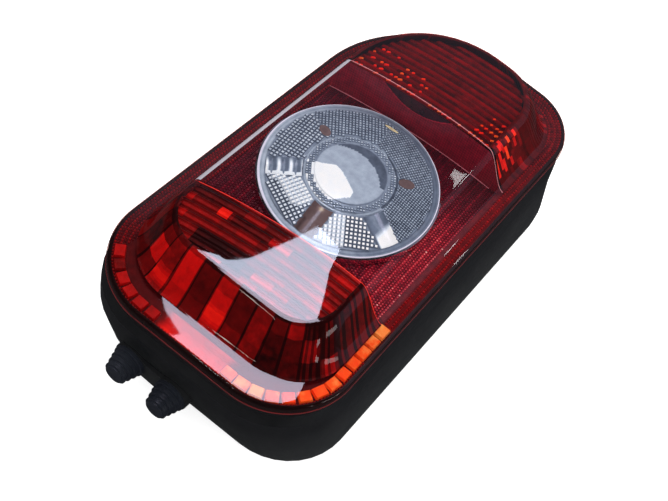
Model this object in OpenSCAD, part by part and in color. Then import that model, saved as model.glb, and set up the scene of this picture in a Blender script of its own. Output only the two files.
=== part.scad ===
// Tail light cluster of a small car, lying on its back with the lens up.
// X runs across the lamp, Y from the peg end to the domed end, Z out of the lens.
// The origin is on the seating plane of the four mounting bosses, at their centre.

/* [Lamp outline] */
// Width of the lamp at the peg end, across the lens skirt
near_w = 117; // [105:1:130]
// Width of the lamp at the domed end
far_w = 102; // [92:1:112]
// Length of the lamp from end to end
lamp_l = 215; // [200:1:232]
// How far the near edge runs out of square
end_slant = 4; // [0:0.5:8]
// Corner radius at the two near corners
near_r = 34; // [24:1:40]
// Corner radius at the right far corner
far_right_r = 26; // [20:1:34]
// Corner radius at the left far corner
far_left_r = 60; // [40:1:64]

/* [Heights] */
// Height of the parting line between housing and lens above the seating plane
rim_z = 50; // [48:1:60]
// Height of the skirt that drops from the lens flange
skirt_h = 5; // [4:0.5:8]
// Rise of the dome above the flange at the near edge of its flat top
near_rise = 14; // [10:0.5:18]
// Rise of the dome above the flange at the far end
far_rise = 19; // [16:0.5:26]
// Extra height in the middle of the dome's top
crown = 1.2; // [0.5:0.1:3]
// How far the bosses stand proud of the back wall
boss_proud = 4; // [4:0.5:8]

/* [Lens] */
// Wall of the outer lens
lens_wall = 2.5; // [2:0.1:3]
// Flange between the skirt and the dome, on the near, right, far and left side
flange_margin = [12.5, 6.5, 9, 6.8];
// Run of the dome wall, on the near, right, far and left side
dome_run = [18, 14, 9.5, 7.5];
// How much smaller the corner radii are at the foot of the dome
foot_radius_less = [6, 6, 3, 6];
// How much smaller they are round its flat top
top_radius_less = [15, 16, 6, 14];
// Radius of the skirt's upper edge
skirt_round = 2.8; // [1.5:0.1:4]
// Where the near edge of the clear window crosses the lamp's middle
window_near_y = -44.5; // [-50:0.5:-43]
// Where the far edge of the clear window crosses the lamp's middle
window_far_y = 46.5; // [45:0.5:52]
// Turn of the window's edges and of the ribs against the lamp's width
band_angle = 6.5; // [0:0.5:9]
// Radius of the bowed edges of the window
band_bow_r = 320; // [200:10:600]
// Spacing of the fine ribs under the far dome
fine_rib_pitch = 3.4; // [3:0.1:6]
// Width of a fine rib
fine_rib_w = 1.6; // [1:0.1:2.4]
// Spacing of the ribs under the near flat
coarse_rib_pitch = 4.4; // [4:0.1:6]
// Width of a coarse rib
coarse_rib_w = 2; // [1.2:0.1:3]
// How far ribs stand out of the lens wall
rib_h = 1.1; // [0.6:0.1:1.6]
// Clear strip between the ends of the ribs and the edge of the flat top
rib_inset = 2.5; // [1.5:0.5:6]
// Spacing of the flutes on the near slope
flute_pitch = 9; // [7:0.5:12]
// Radius of a flute on the near slope
flute_r = 1.8; // [1.4:0.1:2.4]

/* [Round lens] */
// Clearance between its bright ring and the foot of the dome's wall beside it
dome_clear = 1.9; // [1.7:0.1:5]
// Place of its centre along X
round_x = -4.2; // [-4.5:0.1:0]
// Place of its centre along Y
round_y = 2.5; // [0:0.1:4]
// Height of its rim above the parting line
round_rim_h = 5.5; // [4.5:0.5:6]
// Thickness of the round lens
round_wall = 2; // [1.5:0.1:2.5]
// Rise of the round lens from its rim to its middle
round_rise = 4; // [2:0.5:6]
// Diameter of the plain disc in its middle
disc_d = 37; // [30:1:42]
// Width of the bright ring round it
ring_w = 1.2; // [0.8:0.1:2]
// Smooth pockets in the raised ring of fine prisms
pocket_count = 6; // [4:1:8]
// Height of that ring above the dish
prism_h = 0.7; // [0.4:0.1:1]

/* [Housing] */
// Wall of the housing
body_wall = 3; // [2.5:0.1:4]
// Width of the gutter for the lens
gutter_w = 2.6; // [2.4:0.1:3]
// Depth of that gutter
gutter_depth = 6; // [5:0.5:7]
// Lip outside the gutter
gutter_lip = 2; // [1.6:0.1:3]
// Thickness of the soft cord in the gutter
seal_t = 1.6; // [1:0.1:2]
// Spacing of the mounting bosses across the lamp
boss_dx = 64; // [60:1:68]
// Spacing of the mounting bosses along the lamp
boss_dy = 110; // [100:1:116]
// Diameter of a mounting boss
boss_d = 16; // [14:0.5:18]
// Bore of the metal inserts, for M6 screws
insert_bore = 5; // [4.2:0.1:6]
// Outside diameter of the inserts
insert_d = 9; // [8:0.5:11]
// Length of the inserts
insert_l = 12; // [10:0.5:15]

/* [Pegs] */
// Length of a locating peg from its block
peg_l = 10; // [9:0.5:14]
// Diameter of a peg's rubber sleeve at its tip
peg_tip_d = 9; // [8:0.5:11]
// Diameter of a peg's rubber sleeve at its root
peg_root_d = 15; // [12:0.5:18]
// Diameter of the plastic core
peg_core_d = 5; // [4:0.5:6.5]
// Distance between the two pegs
peg_gap = 22; // [20:0.5:28]
// Place of the pegs' middle along X
peg_x = -9.5; // [-14:0.5:0]
// Depth of the pegs' axes below the parting line
peg_depth = 30; // [24:0.5:32]

/* [Bulbs and carrier] */
// Diameter of a bulb's glass
glass_d = 22; // [18:0.5:24]
// Diameter of a bulb's metal cap
cap_d = 15; // [13:0.5:16]
// Height of a bulb's cap
cap_h = 15; // [12:0.5:17]
// Top of the bulbs below the parting line
bulb_drop = 2; // [1:0.5:6]
// Width of the bulb carrier's plate
carrier_w = 36; // [35:0.5:38]
// From the lamp's near end to the plate
carrier_near = 23.5; // [22:0.5:26]
// From the lamp's far end to the plate
carrier_far = 27.5; // [26:0.5:30]
// Place of the plate's centre along X
carrier_x = 2; // [0:0.5:2.5]
// Thickness of that plate
carrier_t = 3; // [2.5:0.1:4]
// Width of the carrier's outer flange
carrier_lip = 3; // [2:0.5:3.5]
// From the lamp's near end to the near bulb
near_bulb_in = 37.5; // [34:0.5:41]
// Place of the far bulb along X
far_bulb_x = 4; // [1:0.5:4]
// From the lamp's far end to the far bulb
far_bulb_in = 39.5; // [38:0.5:42]
// Wall of a bulb's socket
socket_wall = 3.2; // [2:0.1:3.4]
// How much of a cap stands out of its socket
cap_over = 3; // [1:0.5:5]
// Inner width of the connector socket
socket_w = 24; // [20:1:28]
// Inner breadth of the connector socket
socket_b = 11; // [9:0.5:14]
// Depth of the connector socket
socket_depth = 15; // [12:0.5:18]
// Thickness of the contact strips
strip_t = 0.8; // [0.5:0.1:1]

/* [Hidden] */
gap = 0.3;            // running clearance between pieces that don't touch
bite = 0.05;          // overlap of shapes that are fused into one solid
tall = 200;           // longer than anything it cuts
corner_steps = 9;
edge_steps = 5;
wall_steps = 5;
ring_n = 4 * (corner_steps + edge_steps);
flange_z = rim_z + skirt_h;
back_z = boss_proud;
floor_z = back_z + body_wall;
ledge_in = 0.8;
ledge_w = 2 * gutter_lip + gutter_w;

// The lamp's outline: four corners, counter-clockwise from the near left one
near_y = -lamp_l / 2;
far_y = lamp_l / 2;
CORNERS = [[-near_w / 2, near_y - end_slant / 2], [near_w / 2, near_y + end_slant / 2],
           [far_w / 2, far_y], [-far_w / 2, far_y]];
RADII = [near_r, near_r, far_right_r, far_left_r];
FOOT_RADII = RADII - foot_radius_less;
TOP_RADII = RADII - top_radius_less;

function lerp(a, b, t) = a + (b - a) * t;
function width_at(y) = lerp(near_w, far_w, (y - near_y) / lamp_l);
wall_x = flange_margin[3] + lens_wall / 2 - width_at(round_y) / 2;
round_d = 2 * (round_x - wall_x - dome_clear - ring_w - gap / 3);
function unit(v) = v / norm(v);
function inward(d) = [-d[1], d[0]];
function cross2(a, b) = a[0] * b[1] - a[1] * b[0];
function side(P, i) = P[(i + 1) % 4] - P[i];
function moved(P, i, m) = P[i] + inward(unit(side(P, i))) * m[i];
function evenly(m) = [m, m, m, m];

// Four corners with each side moved inwards by its own margin
function inset(P, m) = [for (i = [0:3])
    let (j = (i + 3) % 4, a = moved(P, j, m), b = moved(P, i, m))
    a + side(P, j) * cross2(b - a, side(P, i)) / cross2(side(P, j), side(P, i))];

// The arc that rounds one corner
function corner_arc(P, i, r) =
    let (u = unit(P[(i + 3) % 4] - P[i]), v = unit(P[(i + 1) % 4] - P[i]),
         c = P[i] + unit(u + v) * r / sin(acos(u * v) / 2),
         turn = 180 - acos(u * v),
         start = atan2(u[0], -u[1]))
    [for (k = [0:corner_steps])
        let (w = start + turn * k / corner_steps) c + r * [cos(w), sin(w)]];

// A closed ring of points round four rounded corners
function rounded(P, R) = [for (i = [0:3])
    let (A = corner_arc(P, i, R[i]), B = corner_arc(P, (i + 1) % 4, R[(i + 1) % 4]))
    each concat(A, [for (k = [1:edge_steps - 1])
        lerp(A[corner_steps], B[0], k / edge_steps)])];

// The lamp's outline moved inwards by one margin, or by one margin a side
function outline(m) = rounded(inset(CORNERS, evenly(m)), [for (r = RADII) r - m]);
function outline_by(m) = rounded(inset(CORNERS, m), [for (r = RADII) r - max(m) * 0.5]);

// Lofts: rings of equal length, joined one to the next
function at_z(ring, z) = [for (p = ring) [p[0], p[1], z]];
function middle(ring) = let (s = [for (p = ring) 1] * ring) s / len(ring);
function bands(count, n) = [for (i = [0:count - 2], k = [0:n - 1])
    let (a = i * n + k, b = i * n + (k + 1) % n)
    each [[a, a + n, b + n], [a, b + n, b]]];

// A solid from the first ring to the last, closed by a fan round the middle of each end
module loft(rings) {
    n = len(rings[0]);
    last = (len(rings) - 1) * n;
    all = len(rings) * n;
    foot = [for (k = [0:n - 1]) [k, (k + 1) % n, all]];
    lid = [for (k = [0:n - 1]) [last + (k + 1) % n, last + k, all + 1]];
    polyhedron(points = concat([for (r = rings) each r],
                               [middle(rings[0]), middle(rings[len(rings) - 1])]),
               faces = concat(foot, bands(len(rings), n), lid));
}

// A closed shell: out over the rings of the outside, back over those of the inside
module shell(outside, inside) {
    n = len(outside[0]);
    rings = concat(outside, inside);
    top = len(outside) * n;
    all = len(rings) * n;
    wall = [for (f = bands(len(rings), n)) if (f[0] < top - n || f[0] >= top) f];
    cap = [for (k = [0:n - 1]) [top - n + k, all, top - n + (k + 1) % n]];
    lid = [for (k = [0:n - 1]) [top + k, top + (k + 1) % n, all + 1]];
    foot = [for (k = [0:n - 1])
        let (q = (k + 1) % n) each [[all - n + k, k, q], [all - n + k, q, all - n + q]]];
    polyhedron(points = concat([for (r = rings) each r],
                               [middle(outside[len(outside) - 1]) + [0, 0, crown / 4],
                                middle(inside[0]) + [0, 0, crown / 4]]),
               faces = concat(wall, cap, lid, foot));
}

// The dome: height of its flat top at y, and its outline at a share of the way up
foot_corners = inset(CORNERS, flange_margin);
top_corners = inset(foot_corners, dome_run);
function rise(y) = lerp(near_rise, far_rise, (y - top_corners[0][1])
                        / (top_corners[2][1] - top_corners[0][1]));
function ease(s) = s * s * (3 - 2 * s);
function foot_ring(m) = rounded(inset(foot_corners, evenly(m)), [for (r = FOOT_RADII) r - m]);
function top_ring(m) = rounded(inset(top_corners, evenly(m)), [for (r = TOP_RADII) r - m]);
function dome_ring(s, m, drop) =
    let (a = foot_ring(m), b = top_ring(m))
    [for (k = [0:ring_n - 1])
        let (p = lerp(a[k], b[k], s)) [p[0], p[1], flange_z + rise(p[1]) * ease(s) - drop]];
function crown_ring(m, drop) =
    let (a = top_ring(m), c = middle(a))
    [for (p = a)
        let (q = lerp(c, p, 0.55)) [q[0], q[1], flange_z + rise(q[1]) + crown * 0.75 - drop]];

module lens_shell() {
    r = skirt_round;
    outside = concat(
        [at_z(outline(0), rim_z), at_z(outline(0), flange_z - r),
         at_z(outline(r * 0.3), flange_z - r * 0.3), at_z(outline(r), flange_z)],
        [for (k = [0:wall_steps]) dome_ring(k / wall_steps, 0, 0)],
        [crown_ring(0, 0)]);
    m = lens_wall / 2;
    inside = concat(
        [crown_ring(m, lens_wall)],
        [for (k = [wall_steps:-1:0]) dome_ring(k / wall_steps, m, lens_wall)],
        [at_z(outline(lens_wall + 0.4), flange_z - lens_wall),
         at_z(outline(lens_wall), rim_z)]);
    shell(outside, inside);
}

// The clear window: a bowed band across the dome, as far down as its foot
module below(y) {
    rotate(band_angle) translate([0, y - band_bow_r]) circle(r = band_bow_r, $fn = 180);
}
module window_area() {
    intersection() {
        polygon(foot_ring(0.4));
        difference() {
            below(window_far_y);
            below(window_near_y);
        }
    }
}
module window_block() {
    translate([0, 0, rim_z]) linear_extrude(tall) window_area();
}

// What fills the dome up to half way through its wall; ribs and flutes end in it
module dome_core() {
    m = lens_wall / 4;
    drop = lens_wall / 2;
    loft(concat([at_z(foot_ring(m), rim_z)],
                [for (k = [0:wall_steps]) dome_ring(k / wall_steps, m, drop)],
                [crown_ring(m, drop)]));
}

// Ribs under the flat top, side by side from y0 to y1 along the turned band
module rib_row(y0, y1, pitch, w) {
    count = floor((y1 - y0) / pitch);
    for (i = [0:count - 1]) {
        y = y0 + pitch * (i + 0.5);
        z = flange_z + rise(y) - lens_wall - rib_h;
        rotate(band_angle) translate([-near_w / 2, y - w / 2, z])
            cube([near_w, w, rib_h + lens_wall + crown]);
    }
}
module ribs() {
    intersection() {
        translate([0, 0, rim_z]) linear_extrude(tall) polygon(top_ring(rib_inset));
        union() {
            rib_row(window_far_y + 2, top_corners[2][1] + 2, fine_rib_pitch, fine_rib_w);
            rib_row(top_corners[0][1] - 2, window_near_y - 2, coarse_rib_pitch, coarse_rib_w);
        }
    }
}

// One flute: a round bar that lies half in the wall of the near slope
module rod(a, b, r) {
    d = b - a;
    translate(a) rotate([0, acos(d[2] / norm(d)), atan2(d[1], d[0])])
        cylinder(h = norm(d), r = r, $fn = 24);
}
module flutes() {
    a = dome_ring(0.22, lens_wall / 2, lens_wall);
    b = dome_ring(0.9, lens_wall / 2, lens_wall);
    left = corner_steps;
    right = corner_steps + edge_steps;
    for (k = [2:2:left - 1]) {
        rod(a[k], b[k], flute_r);
        rod(a[right + k], b[right + k], flute_r);
    }
    count = floor(norm(a[right] - a[left]) / flute_pitch);
    for (k = [0:count])
        rod(lerp(a[left], a[right], k / count), lerp(b[left], b[right], k / count), flute_r);
}

module red_lens() {
    color([0.7, 0.03, 0.04, 0.8]) {
        difference() {
            union() {
                lens_shell();
                intersection() {
                    dome_core();
                    union() {
                        ribs();
                        flutes();
                    }
                }
            }
            window_block();
        }
        lens_tongue();
    }
}
module lens_tongue() {
    w = gutter_w - 2 * gap;
    m = ledge_in + gutter_lip + gap;
    bottom = rim_z - gutter_depth + seal_t;
    translate([0, 0, bottom]) linear_extrude(flange_z - lens_wall + bite - bottom)
        difference() {
            polygon(outline(m));
            polygon(outline(m + w));
        }
}
module clear_window() {
    color([0.92, 0.94, 0.97, 0.35]) intersection() {
        lens_shell();
        window_block();
    }
}

// The housing: outer rings from the back wall up, each with its own margins
HOUSING_RINGS = [[-1, [10, -1.5, 11, 10]], [-0.93, [6.5, -4.5, 8, 6]], [-0.8, [4, -4.5, 6, 3]],
                 [-0.45, [0, -1.5, 3, -0.2]], [-0.22, [-0.6, -0.4, 0, -0.8]],
                 [-0.14, [1.8, 1.4, 1.6, 1.8]], [0, evenly(ledge_in)]];
depth = rim_z - back_z;
function body_margins(t) = lookup_margins(t, 0);
function lookup_margins(t, i) =
    let (a = HOUSING_RINGS[i], b = HOUSING_RINGS[i + 1])
    t <= b[0] || i == len(HOUSING_RINGS) - 2
        ? lerp(a[1], b[1], (t - a[0]) / (b[0] - a[0])) : lookup_margins(t, i + 1);
function body_ring(t, more) = at_z(outline_by(body_margins(t) + evenly(more)), rim_z + t * depth);

ledge_under = gutter_depth + body_wall;
module cavity() {
    low = (floor_z - rim_z) / depth;
    loft(concat([for (t = [low, -0.8, -0.45, -(ledge_under + ledge_w) / depth])
                     body_ring(t, body_wall)],
                [at_z(outline(ledge_in + ledge_w), rim_z - ledge_under),
                 at_z(outline(ledge_in + ledge_w), rim_z + 1)]));
}
module gutter() {
    m = ledge_in + gutter_lip;
    translate([0, 0, rim_z - gutter_depth]) linear_extrude(gutter_depth + 1) difference() {
        polygon(outline(m));
        polygon(outline(m + gutter_w));
    }
}
module at_bosses() {
    for (x = [-1, 1], y = [-1, 1])
        translate([x * boss_dx / 2, y * boss_dy / 2, 0]) children();
}
boss_h = insert_l + body_wall;
pad_d = peg_root_d + 1;
peg_z = rim_z - peg_depth;
peg_end = 2;
block_front_y = near_y - 1.3;
block_depth = 10;
module at_peg(k) {
    translate([peg_x + k * peg_gap / 2, block_front_y, peg_z]) rotate([90, 0, 0]) children();
}
module peg_block() {
    for (k = [-1, 1]) at_peg(k) translate([0, 0, -block_depth])
        cylinder(h = block_depth, d = pad_d, $fn = 48);
    translate([peg_x - peg_gap / 2, block_front_y, peg_z - pad_d / 3])
        cube([peg_gap, block_depth, pad_d / 1.5]);
}
module vent_spigot(h, d) {
    translate([vent_x, vent_y, back_z - h]) cylinder(h = h + bite, d = d, $fn = 24);
}
vent_x = boss_dx / 2;
vent_y = 0;
vent_d = 5;
vent_h = 2;
carrier_l = lamp_l - carrier_near - carrier_far;
carrier_y = (carrier_near - carrier_far) / 2;
module carrier_shape(w, l, h, r) {
    translate([carrier_x, carrier_y, 0]) linear_extrude(h) {
        square([w, l - 2 * r], center = true);
        square([w - 2 * r, l], center = true);
        for (x = [-1, 1], y = [-1, 1])
            translate([x * (w / 2 - r), y * (l / 2 - r)]) circle(r = r, $fn = 32);
    }
}
plate_r = 8;
flange_w = carrier_w + 2 * carrier_lip;
flange_l = carrier_l + 2 * carrier_lip;
flange_r = plate_r + carrier_lip;
module housing() {
    color([0.05, 0.05, 0.055]) difference() {
        union() {
            difference() {
                union() {
                    loft([for (r = HOUSING_RINGS) body_ring(r[0], 0)]);
                    peg_block();
                }
                cavity();
            }
            at_bosses() cylinder(h = boss_h, d = boss_d, $fn = 48);
            for (k = [-1, 1]) at_peg(k) translate([0, 0, -bite])
                cylinder(h = peg_l - peg_end + bite, d = peg_core_d, $fn = 32);
            vent_spigot(vent_h, vent_d);
        }
        gutter();
        translate([0, 0, back_z - 1])
            carrier_shape(carrier_w, carrier_l, body_wall + 2, plate_r);
        at_bosses() translate([0, 0, -1]) cylinder(h = insert_l + 1, d = insert_d, $fn = 48);
        translate([0, 0, back_z - tall])
            carrier_shape(flange_w + 2 * gap, flange_l + 2 * gap, tall, flange_r + gap);
    }
}
module threaded_inserts() {
    color([0.78, 0.62, 0.3]) at_bosses() difference() {
        cylinder(h = insert_l, d = insert_d, $fn = 48);
        translate([0, 0, -1]) cylinder(h = insert_l, d = insert_bore, $fn = 48);
    }
}
module peg_sleeve(k) {
    h = peg_l;
    ribs = 4;
    color([0.04, 0.045, 0.05]) at_peg(k) difference() {
        rotate_extrude($fn = 48) polygon(concat(
            [[0, 0]],
            [for (i = [0:ribs - 1]) let (t = i / ribs, r = lerp(peg_root_d, peg_tip_d, t) / 2)
                each [[r, h * t], [r, h * (t + 0.6 / ribs)], [r - 0.9, h * (t + 0.7 / ribs)],
                      [r - 0.9, h * (t + 0.95 / ribs)]]],
            [[peg_tip_d / 2 - 0.5, h], [0, h]]));
        translate([0, 0, -1]) cylinder(h = h - peg_end + 1, d = peg_core_d, $fn = 32);
    }
}
module left_peg_sleeve() { peg_sleeve(-1); }
module right_peg_sleeve() { peg_sleeve(1); }
module vent_cap() {
    color([0.06, 0.06, 0.06]) translate([vent_x, vent_y, back_z - vent_h - 1]) difference() {
        union() {
            cylinder(h = vent_h + 1, d = vent_d + 4, $fn = 32);
            cylinder(h = 1, d = vent_d + 6, $fn = 32);
        }
        translate([0, 0, 1]) cylinder(h = vent_h + 1, d = vent_d, $fn = 24);
    }
}
module lens_seal() {
    m = ledge_in + gutter_lip + gap;
    color([0.12, 0.12, 0.12]) translate([0, 0, rim_z - gutter_depth])
        linear_extrude(seal_t) difference() {
            polygon(outline(m));
            polygon(outline(m + gutter_w - 2 * gap));
        }
}
gasket_w = 4;
gasket_in = 1;
gasket_t = 3;
module rear_gasket() {
    m = HOUSING_RINGS[0][1] + evenly(gasket_in);
    color([0.13, 0.13, 0.14]) translate([0, 0, back_z - gasket_t]) difference() {
        linear_extrude(gasket_t) difference() {
            polygon(outline_by(m));
            polygon(outline_by(m + evenly(gasket_w)));
            at_bosses() circle(d = boss_d + 2 * gap, $fn = 48);
        }
        translate([0, 0, -1])
            carrier_shape(flange_w + 2 * gap, flange_l + 2 * gap, gasket_t + 2, flange_r + gap);
    }
}

// The bulb carrier: a plate in the back opening, with three bulb sockets
BULBS = [[far_bulb_x, far_y - far_bulb_in], [round_x, round_y], [0, near_y + near_bulb_in]];
cap_gap = 0.2;
carrier_seal_t = 1;
carrier_seal_w = 2.2;
carrier_flange_t = 1.6;
carrier_face = back_z + carrier_t;
cap_z = carrier_face + strip_t;
socket_top = cap_z + cap_h - cap_over;
cup_x = 0;
cup_y = (BULBS[0][1] + BULBS[1][1]) / 2;
cup_wall = 2;
cup_l = socket_w + 2 * cup_wall;
cup_b = socket_b + 2 * cup_wall;
mouth_z = back_z - carrier_seal_t - carrier_flange_t;
cup_top = mouth_z + socket_depth + cup_wall;
module carrier_plate_body() {
    translate([0, 0, mouth_z])
        carrier_shape(flange_w, flange_l, carrier_flange_t, flange_r);
    translate([0, 0, back_z - carrier_seal_t - bite])
        carrier_shape(carrier_w - 2 * gap, carrier_l - 2 * gap,
                      carrier_t + carrier_seal_t + bite, plate_r - gap);
}
module bulb_carrier() {
    color([0.16, 0.16, 0.17]) difference() {
        union() {
            carrier_plate_body();
            for (b = BULBS) translate([b[0], b[1], carrier_face])
                cylinder(h = socket_top - carrier_face, d = cap_d + 2 * socket_wall, $fn = 48);
            translate([cup_x - cup_b / 2, cup_y - cup_l / 2, mouth_z])
                cube([cup_b, cup_l, cup_top - mouth_z]);
        }
        for (b = BULBS) translate([b[0], b[1], carrier_face])
            cylinder(h = tall, d = cap_d + 2 * cap_gap, $fn = 48);
        translate([cup_x - socket_b / 2, cup_y - socket_w / 2, mouth_z - 1])
            cube([socket_b, socket_w, socket_depth + 1]);
        for (i = [0:3]) strip(i, gap);
        all_runs(gap);
    }
}
module carrier_seal() {
    w = carrier_seal_w;
    color([0.5, 0.16, 0.08]) translate([0, 0, back_z - carrier_seal_t])
        difference() {
            carrier_shape(carrier_w + 2 * w, carrier_l + 2 * w, carrier_seal_t, plate_r + w);
            translate([0, 0, -1]) carrier_shape(carrier_w, carrier_l, carrier_seal_t + 2, plate_r);
        }
}

// Contact strips: from a pin in the connector, up over its cup and along the carrier
strip_w = 3;
strip_gap = 0.5;
pin_l = 9;
pin_pitch = 5.6;
side_x = cup_b / 2 + gap;
function pin_y(i) = cup_y + (i - 1.5) * pin_pitch;
// A flat bar between two points of one level, square to X or Y
module bar(a, b, z, grow) {
    w = strip_w + 2 * grow;
    lo = [min(a[0], b[0]) - w / 2, min(a[1], b[1]) - w / 2];
    hi = [max(a[0], b[0]) + w / 2, max(a[1], b[1]) + w / 2];
    translate([lo[0], lo[1], z]) cube([hi[0] - lo[0], hi[1] - lo[1], strip_t + grow]);
}
module strip(i, grow) {
    y = pin_y(i);
    s = i == 0 || i == 3 ? -1 : 1;
    x = s * (side_x + strip_t / 2);
    w = strip_w + 2 * grow;
    t = strip_t + 2 * grow;
    // pin in the connector
    translate([cup_x - t / 2, y - w / 2, cup_top - cup_wall - pin_l])
        cube([t, w, pin_l + cup_wall + strip_t]);
    // tab over the cup and riser beside it
    translate([min(cup_x - t / 2, x - strip_t / 2), y - w / 2, cup_top])
        cube([abs(x) + strip_t / 2 + t / 2, w, strip_t + grow]);
    translate([x - strip_t / 2, y - w / 2, carrier_face])
        cube([strip_t, w, cup_top + strip_t - carrier_face]);
}
contact_h = 7;
left_lane = BULBS[1][0] - cap_d / 2 - strip_w / 2 + cap_gap;
right_lane = BULBS[0][0] + cap_d / 2 + socket_wall + gap + strip_w / 2 + strip_gap;
module run(points, grow) {
    for (k = [0:len(points) - 2]) bar(points[k], points[k + 1], carrier_face, grow);
}
module lower_run(grow) {
    a = -side_x - strip_w / 2;
    x = left_lane;
    run([[a, pin_y(0)], [x, pin_y(0)], [x, BULBS[2][1]], BULBS[2]], grow);
}
module upper_run(grow) {
    a = -side_x - strip_w / 2;
    run([[a, pin_y(3)], [a, BULBS[0][1]], BULBS[0]], grow);
}
module middle_run(grow) {
    a = side_x + strip_w / 2;
    run([[a, pin_y(1)], [a, BULBS[1][1]], BULBS[1]], grow);
}
module ground_run(grow) {
    a = side_x + strip_w / 2;
    x = right_lane;
    run([[a, pin_y(2)], [x, pin_y(2)]], grow);
    q = cap_d / 2 + strip_w / 2;
    run([[x, BULBS[2][1] - q], [x, BULBS[0][1] - q]], grow);
    for (b = BULBS) {
        run([[x, b[1] - q], [b[0], b[1] - q]], grow);
        translate([b[0] - strip_w / 2 - grow, b[1] - cap_d / 2 - strip_t - grow, carrier_face])
            cube([strip_w + 2 * grow, strip_t + grow, contact_h + grow]);
    }
}
module all_runs(grow) {
    lower_run(grow);
    upper_run(grow);
    middle_run(grow);
    ground_run(grow);
}
module ground_strip() { color([0.8, 0.68, 0.35]) { strip(2, 0); ground_run(0); } }
module upper_feed_strip() { color([0.8, 0.68, 0.35]) { strip(3, 0); upper_run(0); } }
module middle_feed_strip() { color([0.8, 0.68, 0.35]) { strip(1, 0); middle_run(0); } }
module lower_feed_strip() { color([0.8, 0.68, 0.35]) { strip(0, 0); lower_run(0); } }

// Bulbs: a metal cap that stands in its socket and a glass on top
bulb_top = rim_z - bulb_drop;
module bulb_cap(b) {
    color([0.75, 0.75, 0.72]) translate([b[0], b[1], cap_z])
        cylinder(h = cap_h, d = cap_d, $fn = 48);
}
module bulb_glass(b) {
    h = bulb_top - cap_z - cap_h;
    neck = cap_d / 2 - 0.6;
    r = glass_d / 2;
    color([0.95, 0.95, 0.95, 0.4]) translate([b[0], b[1], cap_z + cap_h])
        rotate_extrude($fn = 64) polygon(concat(
            [[0, 0], [neck, 0], [neck, 2]],
            [for (a = [-40:10:80]) [r * cos(a), h - r + r * sin(a)]],
            [[0, h]]));
}
module upper_bulb() { bulb_glass(BULBS[0]); }
module middle_bulb() { bulb_glass(BULBS[1]); }
module lower_bulb() { bulb_glass(BULBS[2]); }
module upper_bulb_cap() { bulb_cap(BULBS[0]); }
module middle_bulb_cap() { bulb_cap(BULBS[1]); }
module lower_bulb_cap() { bulb_cap(BULBS[2]); }

// Reflectors: a bowl with a plate that rests on the housing's ledge
plate_t = 1.6;
bowl_wall = 1.6;
bowl_low = socket_top + 1.5;
inner_margin = ledge_in + 2 * gap + gutter_lip + gutter_w;
module zone(which) {
    split = 0.4;
    intersection() {
        polygon(outline(inner_margin));
        if (which == "near") below(window_near_y - split);
        if (which == "middle") difference() {
            below(window_far_y - split);
            below(window_near_y + split);
        }
        if (which == "far") difference() {
            translate([-near_w, 0]) square([2 * near_w, lamp_l]);
            below(window_far_y + split);
        }
    }
}
function bowl_profile(r0, r1, z0, z1, n) = [for (k = [0:n])
    let (t = k / n) [lerp(r0, r1, t), z0 + (z1 - z0) * t * t]];
module bowl(r0, r1, z1) {
    n = 8;
    inside = bowl_profile(r0, r1, bowl_low, z1, n);
    outside = [for (p = inside) p + [bowl_wall, 0]];
    rotate_extrude($fn = 72) polygon(concat(
        inside, [for (k = [n:-1:0]) outside[k]]));
}
bulb_hole_r = glass_d / 2 + 1.5;
module zone_reflector(which, b, r) {
    color([0.8, 0.8, 0.82]) {
        translate([0, 0, rim_z]) linear_extrude(plate_t) difference() {
            zone(which);
            translate(b) circle(r = r + bowl_wall / 2, $fn = 72);
        }
        translate(b) bowl(bulb_hole_r, r, panel_top);
    }
}
side_bowl_r = 19;
module upper_reflector() { zone_reflector("far", BULBS[0], side_bowl_r); }
module lower_reflector() { zone_reflector("near", BULBS[2], side_bowl_r); }
centre_flange = 4;
centre_bowl_r = round_d / 2 - 3;
module side_bowls() {
    for (b = [BULBS[0], BULBS[2]])
        translate(b) circle(r = side_bowl_r + bowl_wall + gap, $fn = 72);
}
module centre_reflector() {
    color([0.85, 0.85, 0.87]) difference() {
        translate([round_x, round_y, 0]) {
            bowl(bulb_hole_r, centre_bowl_r, rim_z);
            translate([0, 0, rim_z - plate_t]) linear_extrude(plate_t) difference() {
                circle(r = centre_bowl_r + centre_flange, $fn = 72);
                circle(r = centre_bowl_r + bowl_wall / 2, $fn = 72);
            }
        }
        linear_extrude(tall) side_bowls();
    }
}
module inner_panel() {
    color([0.45, 0.02, 0.04]) translate([0, 0, rim_z]) linear_extrude(plate_t) difference() {
        zone("middle");
        translate([round_x, round_y]) circle(r = round_d / 2 - round_wall, $fn = 96);
        side_bowls();
    }
}

// The round lens: a shallow dome on a short wall, with a plain disc in its middle
panel_top = rim_z + plate_t;
round_rim_z = rim_z + round_rim_h;
prism_in = disc_d / 2 + 2;
prism_out = round_d / 2 - 4;
function dish_z(q) = round_rim_z + round_rise * (1 - pow(2 * q / round_d, 2));
module round_lens() {
    r = round_d / 2;
    rd = disc_d / 2;
    raised = [for (k = [0:5]) let (q = lerp(prism_in, prism_out, k / 5)) [q, dish_z(q) + prism_h]];
    edge = [for (k = [0:2]) let (q = lerp(prism_out + prism_h, r, k / 2)) [q, dish_z(q)]];
    color([0.85, 0.9, 0.97, 0.4]) translate([round_x, round_y, 0]) difference() {
        rotate_extrude($fn = 96) polygon(concat(
            [[0, dish_z(0) + 0.8], [rd - 1, dish_z(rd) + 0.8], [rd, dish_z(rd) + 0.4],
             [rd + 0.4, dish_z(rd + 1) - 0.4], [rd + 1.4, dish_z(rd + 1) - 0.4]],
            raised, edge,
            [[r, panel_top], [r - round_wall, panel_top],
             [r - round_wall, round_rim_z - round_wall], [0, dish_z(0) - round_wall]]));
        for (k = [0:pocket_count - 1])
            rotate(360 * (k + 0.6) / pocket_count) pocket();
    }
}
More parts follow.
